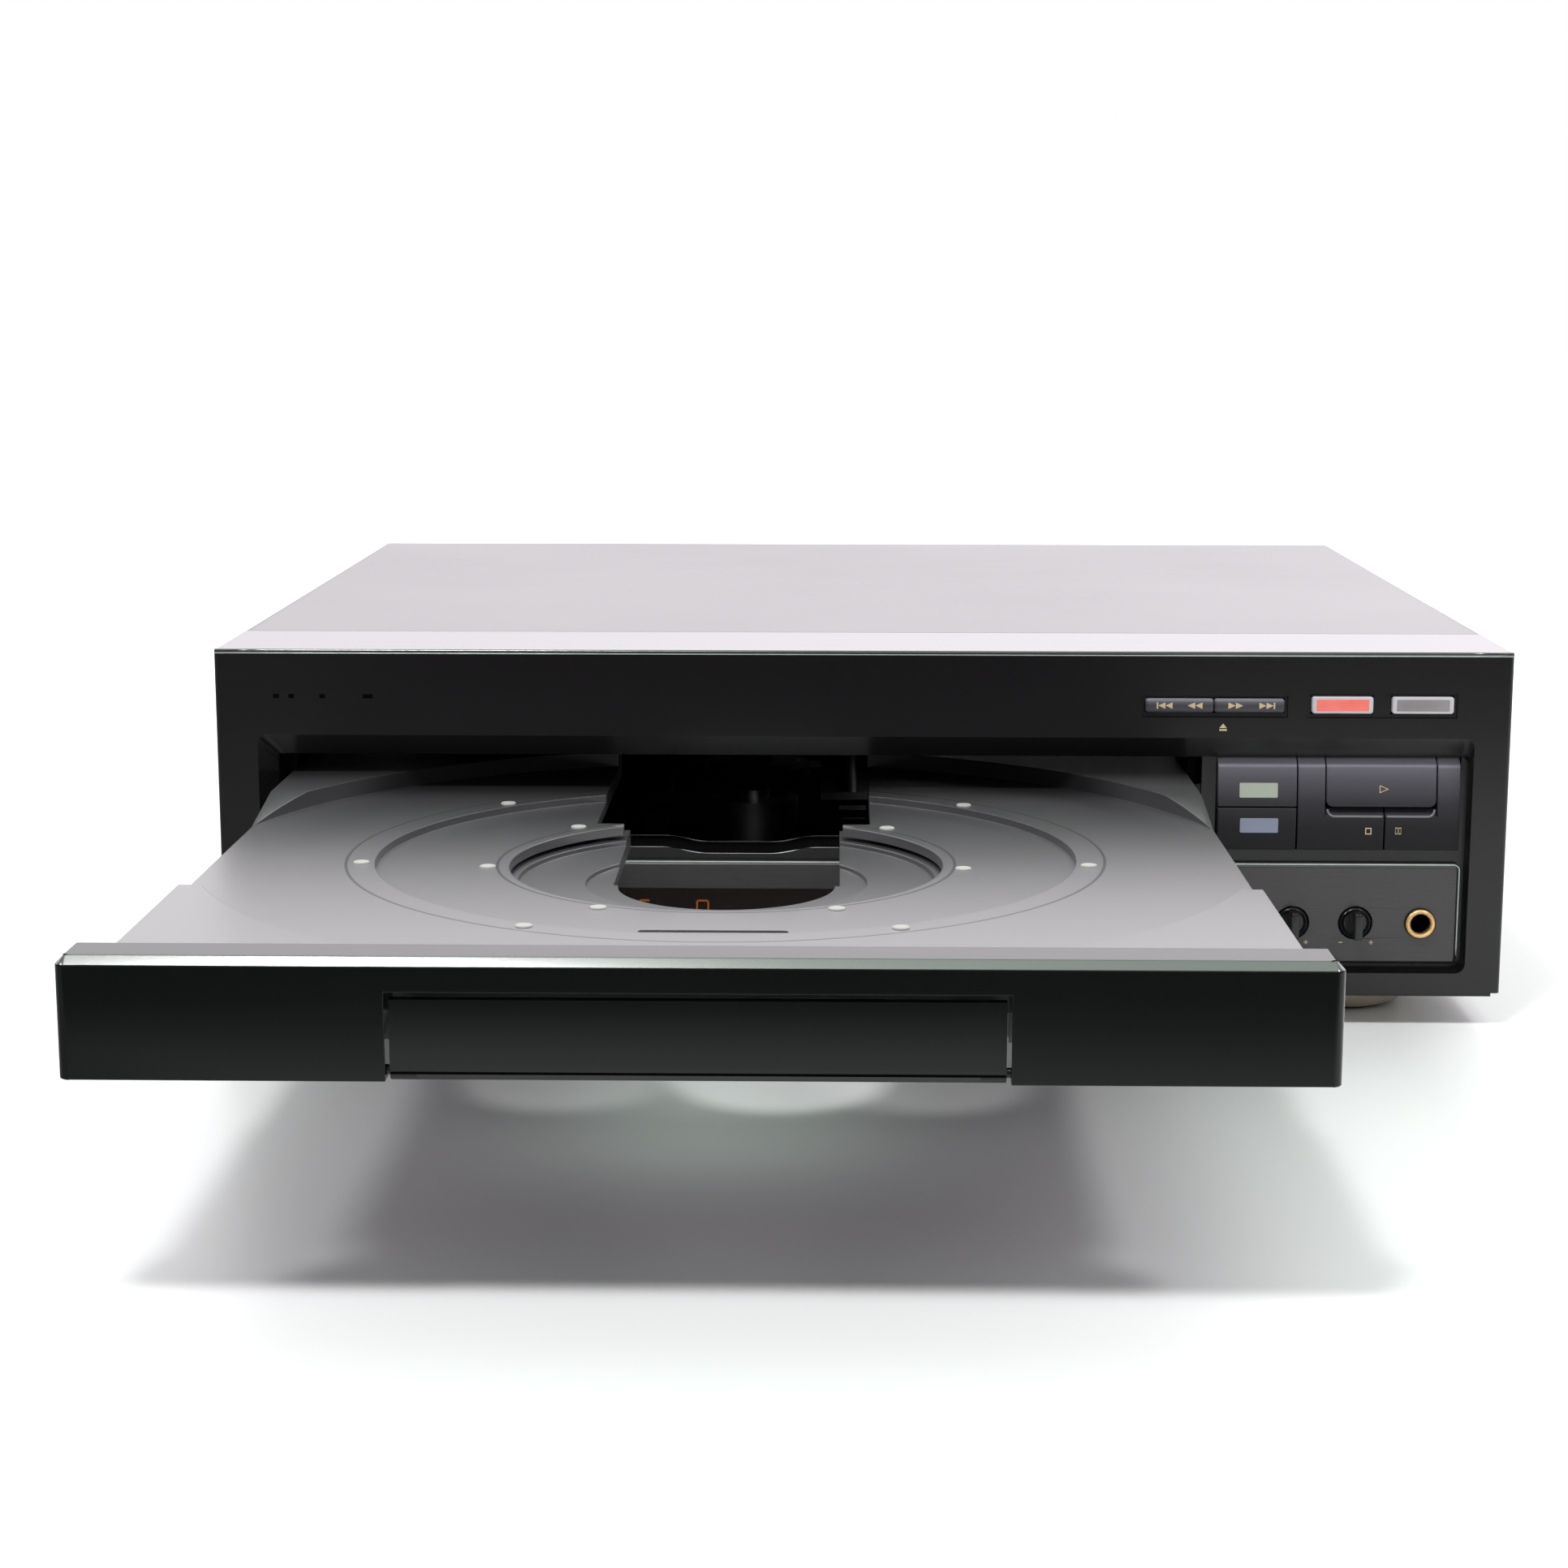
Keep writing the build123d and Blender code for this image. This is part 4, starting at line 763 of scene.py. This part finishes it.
def makeLips():
    # each lip runs along the foot of its key and curls up where the upright begins; its colour, paler than the keys,
    # is a painted highlight
    for node, (start, end, way) in lips["spans"].items():
        bend = [(start + way * lips["curl"] * (1 - math.cos(a)), lips["level"] + lips["curl"] * (1 - math.sin(a)))
                for a in np.linspace(0, math.pi / 2, 9)]
        rows = bend + [(x, lips["level"]) for x in np.linspace(bend[-1][0], end, 12)[1:]]
        tube(node + "Lip", [(x, lips["face"] + 0.25 * (z - lips["level"]) + crownAt(z), z) for x, z in rows],
             lips["radius"], "keyLipPaintedHighlight", node + "_body")


makeLips()

# ---------- rounded edges with painted highlights -------
paintedShine = {"flat": 10.0, "bend": 16.0, "dip": 2.1, "shelf": 58.2, "sink": 0.55,
         "shelfRuns": ((-190.0, -68.0, 10), (-67.0, -13.0, 60), (-12.0, 110.6, 10)),
         "shelfEdges": ((25.6, 0.32), (6.3, 0.2)),
         "topHalf": 209.6, "topEdges": ((0.62, 123.55, 0.8, "doorEdgePaintedSheen"), (0.04, 123.0, 0.2, "paintedEdgeHighlight")),
         "panelTop": 53.75, "panelBelow": 50.25, "panelFoot": 23.5, "panelEnds": (-187.0, 194.0), "panelEdge": 3.75,
         "panelCorner": 1.9, "panelRadius": 0.26}


def dipAt(x):
    # the level of the slot's floor: shelf - dip * (1 - part^2 (3 - 2 part)), where part runs from 0 at the end of
    # the dip's flat bottom to 1 at the end of its bend
    reach = abs(x - player["trayMiddle"])
    part = min(max((reach - paintedShine["flat"]) / paintedShine["bend"], 0.0), 1.0)
    return paintedShine["shelf"] - paintedShine["dip"] * (1 - part * part * (3 - 2 * part))


def makePaintedShine():
    # tubes along the two edges of the slot's floor, the top of the front panel, and the rim of the lower panel,
    # coloured lighter than what they lie on: painted highlights, and along the panel's top a greenish band of painted
    # sheen
    across = np.concatenate([np.linspace(*run) for run in paintedShine["shelfRuns"]])
    for number, (depth, radius) in enumerate(paintedShine["shelfEdges"]):
        tube(f"slotEdge{number}", [(x, back(depth), dipAt(x) - radius * paintedShine["sink"]) for x in across], radius,
             "paintedEdgeHighlight", "case")
    for number, (depth, z, radius, material) in enumerate(paintedShine["topEdges"]):
        tube(f"topEdge{number}", [(x, back(depth), z) for x in np.linspace(-paintedShine["topHalf"], paintedShine["topHalf"], 30)],
             radius, material, "case", count=20)
    left, right = paintedShine["panelEnds"]
    z, y, bend = paintedShine["panelTop"], back(paintedShine["panelEdge"]), paintedShine["panelCorner"]
    corner = [(right + bend * math.sin(a), y, z - bend * (1 - math.cos(a))) for a in np.linspace(0, math.pi / 2, 8)]
    upright = [(right + bend, y, low) for low in np.linspace(paintedShine["panelBelow"], paintedShine["panelFoot"], 8)]
    tube("fasciaEdge", [(x, y, z) for x in np.linspace(left, right, 24)] + corner[1:] + upright,
         paintedShine["panelRadius"], "paintedEdgeHighlight", "case")


makePaintedShine()

digits = {"face": -34.0, "high": 6.4, "wide": 3.7, "stroke": 0.55, "top": 39.5,
          "row": ((-52.1, "abcdef"), (-71.4, "ad"))}


def makeDigits():
    # seven bars each, of which the lit ones are named a to g
    half, high, line = digits["wide"] / 2, digits["high"], digits["stroke"]
    shapes = []
    for x, lit in digits["row"]:
        middle, top = digits["top"] - high / 2, digits["top"]
        places = {"a": bar(x, top, 2 * half - 0.4, line), "d": bar(x, top - high, 2 * half - 0.4, line),
                  "g": bar(x, middle, 2 * half - 0.4, line),
                  "b": bar(x + half, middle + high / 4, line, high / 2 - 0.35),
                  "c": bar(x + half, middle - high / 4, line, high / 2 - 0.35),
                  "e": bar(x - half, middle - high / 4, line, high / 2 - 0.35),
                  "f": bar(x - half, middle + high / 4, line, high / 2 - 0.35)}
        shapes += [places[name] for name in lit]
    marks("litDigits", shapes, digits["face"], "litAmber", "case", proud=0.1)


makeDigits()
print("signs, plates and digits made")

# ---------- keys in the upper band ----------


def barKey(name, span, rear, face, radius, edge, material, body, replaces=()):
    # a rounded rectangle carried forward from `rear`, drawn in round its front edge by a quarter circle
    left, right, low, high = span
    rings = [(0.0, rear)] + [(edge * (1 - math.cos(a)), face + edge * (1 - math.sin(a)))
                             for a in np.linspace(0, math.pi / 2, 6)]
    points = []
    for inset, y in rings:
        outline = roundedRectangle(left + inset, right - inset, low + inset, high - inset,
                                   max(radius - inset, 0.05))
        points += [(x, y, z) for x, z in outline]
    piece = meshPiece(name, points, ringFaces(len(rings), 24), material, body, replaces=replaces)
    outwards(piece)
    sharpen(piece, math.radians(40))
    return piece


bandKeys = {"rocker": (91.8, 136.5, 104.6, 109.1), "split": 113.8, "rear": back(7), "face": back(-1.4),
            "sides": ((145.3, 165.0, 104.4, 109.9), (171.1, 190.9, 104.4, 109.9)), "sideFace": back(-1.0)}


def makeBandKeys():
    # the rocker is two caps with a fine gap at the split; each side key is a clear rim round a lens, the rim drawn
    # opaque pale grey: painted highlight where the clear plastic catches the light
    left, right, low, high = bandKeys["rocker"]
    split, rear, face = bandKeys["split"], bandKeys["rear"], bandKeys["face"]
    barKey("skipBackCap", (left, split - 0.12, low, high), rear, face, 0.9, 1.1, "keySlatePaintedLight", "skip_back_key_body",
           ("skip_back_key",))
    barKey("skipForwardCap", (split + 0.12, right, low, high), rear, face, 0.9, 1.1, "keySlatePaintedLight",
           "skip_forward_key_body", ("skip_forward_key",))
    names = (("sideOne", "side_one_key", "litRed", "key_red"), ("sideTwo", "side_two_key", "clearGrey", "key_clear"))
    for (name, node, inner, slot), span in zip(names, bandKeys["sides"]):
        barKey(name + "Rim", span, rear, bandKeys["sideFace"], 0.9, 0.5, "clearRimPaintedHighlight", node + "_body", (node,))
        left, right, low, high = span
        barKey(name + "Lens", (left + 1.3, right - 1.3, low + 0.75, high - 0.75), rear + 1,
               bandKeys["sideFace"] - 0.06, 0.5, 0.25, inner, node + "_body")


makeBandKeys()
print("band keys made")

# ---------- turned pieces: knobs, jack ring, feet, pads ----------


def turned(name, profiles, material, body, along="Z", count=72, replaces=(), hard=38, caps=True):
    # each profile of (radius, distance) rows is carried round its own centre; without caps it closes on itself
    angles = np.linspace(0, 2 * math.pi, count, endpoint=False)
    points, faces = [], []
    for centre, profile in profiles:
        start = len(points)
        for radius, distance in profile:
            ring = np.stack([radius * np.cos(angles), radius * np.sin(angles), np.full(count, distance)], 1)
            if along == "Y":
                ring = ring[:, [0, 2, 1]]
            points += (ring + np.asarray(centre)).tolist()
        faces += [[start + i for i in one] for one in ringFaces(len(profile), count, caps=(caps, caps))]
        if not caps:
            around = np.arange(count)
            last = start + (len(profile) - 1) * count
            faces += np.stack([last + around, last + (around + 1) % count, start + (around + 1) % count,
                               start + around], 1).tolist()
    piece = meshPiece(name, points, faces, material, body, replaces=replaces)
    outwards(piece)
    sharpen(piece, math.radians(hard))
    return piece


knobs = {"height": 34.35, "radius": 5.2, "face": back(2.6), "grip": back(-3.6), "gripWide": 3.0, "gripHigh": 9.0,
         "places": {"echo_knob": 141.8, "mic_knob": 162.5}}


def makeKnobs():
    # each knob is a turned dish, hollow towards its middle, with a grip bar across it
    face, radius, z = knobs["face"], knobs["radius"], knobs["height"]
    dish = [(2.9, back(16)), (2.9, back(10)), (radius, back(10)), (radius, face + 0.8), (radius - 0.15, face + 0.3),
            (radius - 0.5, face), (radius - 1.0, face + 0.15), (radius - 1.5, face + 0.7), (0.6, face + 0.9)]
    for node, x in knobs["places"].items():
        turned(node + "Dish", [((x, 0, z), dish)], "knobGloss", node + "_body", along="Y",
               replaces=(node,))
        barKey(node + "Grip", (x - knobs["gripWide"] / 2, x + knobs["gripWide"] / 2, z - knobs["gripHigh"] / 2,
                               z + knobs["gripHigh"] / 2), face + 1.0, knobs["grip"], 1.1, 0.7, "knobGloss",
               node + "_body")


makeKnobs()

jack = {"place": (183.6, 34.35), "bore": 3.25, "ring": 4.85, "proud": back(1.2)}


def makeJack():
    # the ring's profile of (radius, distance) rows runs in at the bore, over the rounded front and down outside
    x, z = jack["place"]
    bore, ring, front = jack["bore"], jack["ring"], jack["proud"]
    gilt = [(bore, front + 2.6), (bore, front + 0.9), (bore + 0.12, front + 0.4), (bore + 0.5, front),
            (ring - 0.6, front), (ring - 0.15, front + 0.35), (ring, front + 0.9), (ring, back(9)),
            (bore + 0.6, back(9)), (bore + 0.6, front + 2.6)]
    turned("jackRing", [((x, 0, z), gilt)], "gilt", "case", along="Y", caps=False)


makeJack()

feet = {"middle": 163.5, "front": back(42), "profile": [(19.5, 1.0), (20.6, 1.05), (21.6, 1.6), (22.6, 2.7),
                                                         (23.7, 4.0), (24.5, 5.4), (25.1, 7.0), (25.4, 8.6),
                                                         (25.5, 10.0), (25.5, 10.5)]}
turned("frontFeetSkin", [((side * feet["middle"], feet["front"], 0), feet["profile"]) for side in (-1, 1)],
       "champagne", "case", count=120, replaces=("front_feet",))

pads = {"radius": 2.35, "rise": 0.5, "outer": (105.3, (81.8, 136.5, 27.7), player["trayTop"]),
        "inner": (69.3, (82.6, 136.5, 27.8), player["smallRecess"])}


def makePads():
    # the pads stand on two rings: x = middle +- reach sin(angle), y = disc middle - reach cos(angle)
    radius, rise = pads["radius"], pads["rise"]
    dome = [(radius, -0.4), (radius, rise - 0.25), (radius - 0.1, rise - 0.1), (radius - 0.35, rise), (0.1, rise)]
    for node, ring in (("outer_pads", pads["outer"]), ("inner_pads", pads["inner"])):
        reach, angles, height = ring
        places = [(player["trayMiddle"] + side * reach * math.sin(math.radians(angle)),
                   player["discMiddle"] - reach * math.cos(math.radians(angle)), height)
                  for angle in angles for side in (-1, 1)]
        turned(node + "Domes", [(place, dome) for place in places], "padCream", "large_tray", count=32,
               replaces=(node,))


makePads()
print("turned pieces made")

# ---------- floor, world and lamps ----------
studio = {"floorSize": 14.0, "floorColour": (0.88, 0.88, 0.89, 1), "fadeStart": 0.45, "fadeEnd": 1.3,
          "paperEnd": -0.42, "paperFade": 0.2, "paperLeft": -0.30, "leftFade": 0.25, "leftDim": 0.8,
          "roomFloor": (0.03, 0.03, 0.03, 1), "wallFoot": 0.06, "wallTop": 0.45, "wallLow": 0.88, "wallHigh": 2.1,
          "wallSides": (0.95, 1.1), "wallColour": (1.0, 0.955, 1.0, 1), "ceiling": 0.25,
          "ceilingColour": (0.84, 1.0, 0.88, 1), "roomFill": (0.06, 0.2), "frontGlow": 0.42, "white": (1, 1, 1, 1)}


def makeFloor():
    # a white floor whose emission, for camera rays, rises with the distance from the player until it melts into white
    mesh = bpy.data.meshes.new("floor")
    half = studio["floorSize"] / 2
    mesh.from_pydata([(-half, -half, 0), (half, -half, 0), (half, half, 0), (-half, half, 0)], [], [(0, 1, 2, 3)])
    floor = bpy.data.objects.new("floor", mesh)
    bpy.context.collection.objects.link(floor)
    material, tree, shader, place = newMaterial("floorWhite")
    setShader(shader, {"Roughness": 0.35, "Specular IOR Level": 0.3, "Emission Strength": 1.0})
    ray = tree.nodes.new("ShaderNodeLightPath")
    fade = mapRange(tree, vectorNode(tree, "LENGTH", place), studio["fadeStart"], studio["fadeEnd"])
    melted = mathNode(tree, "MULTIPLY", fade, ray.outputs["Is Camera Ray"])
    # mirrored in the glossy faces, the paper ends in front of the player and at its left
    ending = mapRange(tree, axisOf(tree, place, "Y"), studio["paperEnd"] - studio["paperFade"], studio["paperEnd"],
                      1.0, 0.0)
    side = mapRange(tree, axisOf(tree, place, "X"), studio["paperLeft"], studio["paperLeft"] + studio["leftFade"],
                    studio["leftDim"], 0.0)
    away = mathNode(tree, "MULTIPLY", mathNode(tree, "MAXIMUM", ending, side), ray.outputs["Is Glossy Ray"])
    wire(tree, mixColour(tree, away, studio["floorColour"], studio["roomFloor"]), shader.inputs["Base Color"])
    white = tree.nodes.new("ShaderNodeCombineColor")
    for channel in ("Red", "Green", "Blue"):
        wire(tree, melted, white.inputs[channel])
    wire(tree, white.outputs[0], shader.inputs["Emission Color"])
    mesh.materials.append(material)


def makeWorld():
    # a white wall behind the player that dims toward the floor, a greenish ceiling, a soft glow in front, and a dim
    # room: strength = max(wall, ceiling) + fill + front, each from the direction (x, y, z); the camera sees white
    world = bpy.data.worlds.new("studio")
    bpy.context.scene.world = world
    world.use_nodes = True
    tree = world.node_tree
    tree.nodes.clear()
    out = tree.nodes.new("ShaderNodeOutputWorld")
    ray = tree.nodes.new("ShaderNodeLightPath")
    place = tree.nodes.new("ShaderNodeTexCoord").outputs["Generated"]
    x, y, z = (axisOf(tree, place, axis) for axis in "XYZ")
    wall = mathNode(tree, "MULTIPLY", mapRange(tree, y, -0.1, 0.6),
                    mapRange(tree, z, studio["wallFoot"], studio["wallTop"], studio["wallLow"], studio["wallHigh"]))
    wall = mathNode(tree, "MULTIPLY", wall, mapRange(tree, x, -0.5, 0.5, *studio["wallSides"]))
    ceiling = mapRange(tree, z, 0.75, 0.95, 0.0, studio["ceiling"])
    front = mathNode(tree, "MULTIPLY", mapRange(tree, y, -0.3, -0.7),
                     mapRange(tree, z, 0.08, 0.3, 0.0, studio["frontGlow"]))
    fill = mathNode(tree, "ADD", mapRange(tree, x, -0.8, 0.8, *studio["roomFill"]), front)
    strength = mathNode(tree, "ADD", mathNode(tree, "MAXIMUM", wall, ceiling), fill)
    around = tree.nodes.new("ShaderNodeBackground")
    wire(tree, mixColour(tree, mapRange(tree, z, 0.55, 0.9), studio["wallColour"], studio["ceilingColour"]),
         around.inputs["Color"])
    wire(tree, strength, around.inputs["Strength"])
    seen = tree.nodes.new("ShaderNodeBackground")
    seen.inputs["Color"].default_value = studio["white"]
    mixed = tree.nodes.new("ShaderNodeMixShader")
    for number, socket in enumerate((ray.outputs["Is Camera Ray"], around.outputs[0], seen.outputs[0])):
        wire(tree, socket, mixed.inputs[number])
    wire(tree, mixed.outputs[0], out.inputs[0])


lamps = {"ceilingStrip": {"lean": (0.0, -0.36), "distance": 2.07, "size": 1.9, "depth": 0.45, "power": 5.2,
                          "colour": (0.88, 1.0, 0.91)},
         "overhead": {"lean": (-0.23, -0.47), "distance": 2.2, "size": 0.30, "power": 20.0},
         "left": {"lean": (-0.91, -0.47), "distance": 2.2, "size": 0.30, "power": 11.0},
         "right": {"lean": (0.746, -0.47), "distance": 2.2, "size": 0.30, "power": 11.0}}
lampTarget = (-0.02, -0.1, 0.05)


def makeLamps():
    # each lamp hangs at target + distance * (lean x, lean y, 1) / length and faces the target
    target = Vector(lampTarget)
    for name, lamp in lamps.items():
        data = bpy.data.lights.new(name, "AREA")
        data.shape = "RECTANGLE"
        data.size = lamp["size"]
        data.size_y = lamp.get("depth", lamp["size"])
        data.color = lamp.get("colour", studio["white"][:3])
        data.energy = lamp["power"]
        holder = bpy.data.objects.new(name, data)
        toward = Vector((lamp["lean"][0], lamp["lean"][1], 1.0)).normalized()
        holder.location = target + toward * lamp["distance"]
        holder.rotation_euler = (-toward).to_track_quat("-Z", "Y").to_euler()
        bpy.context.collection.objects.link(holder)


makeFloor()
makeWorld()
makeLamps()
print("studio lit")
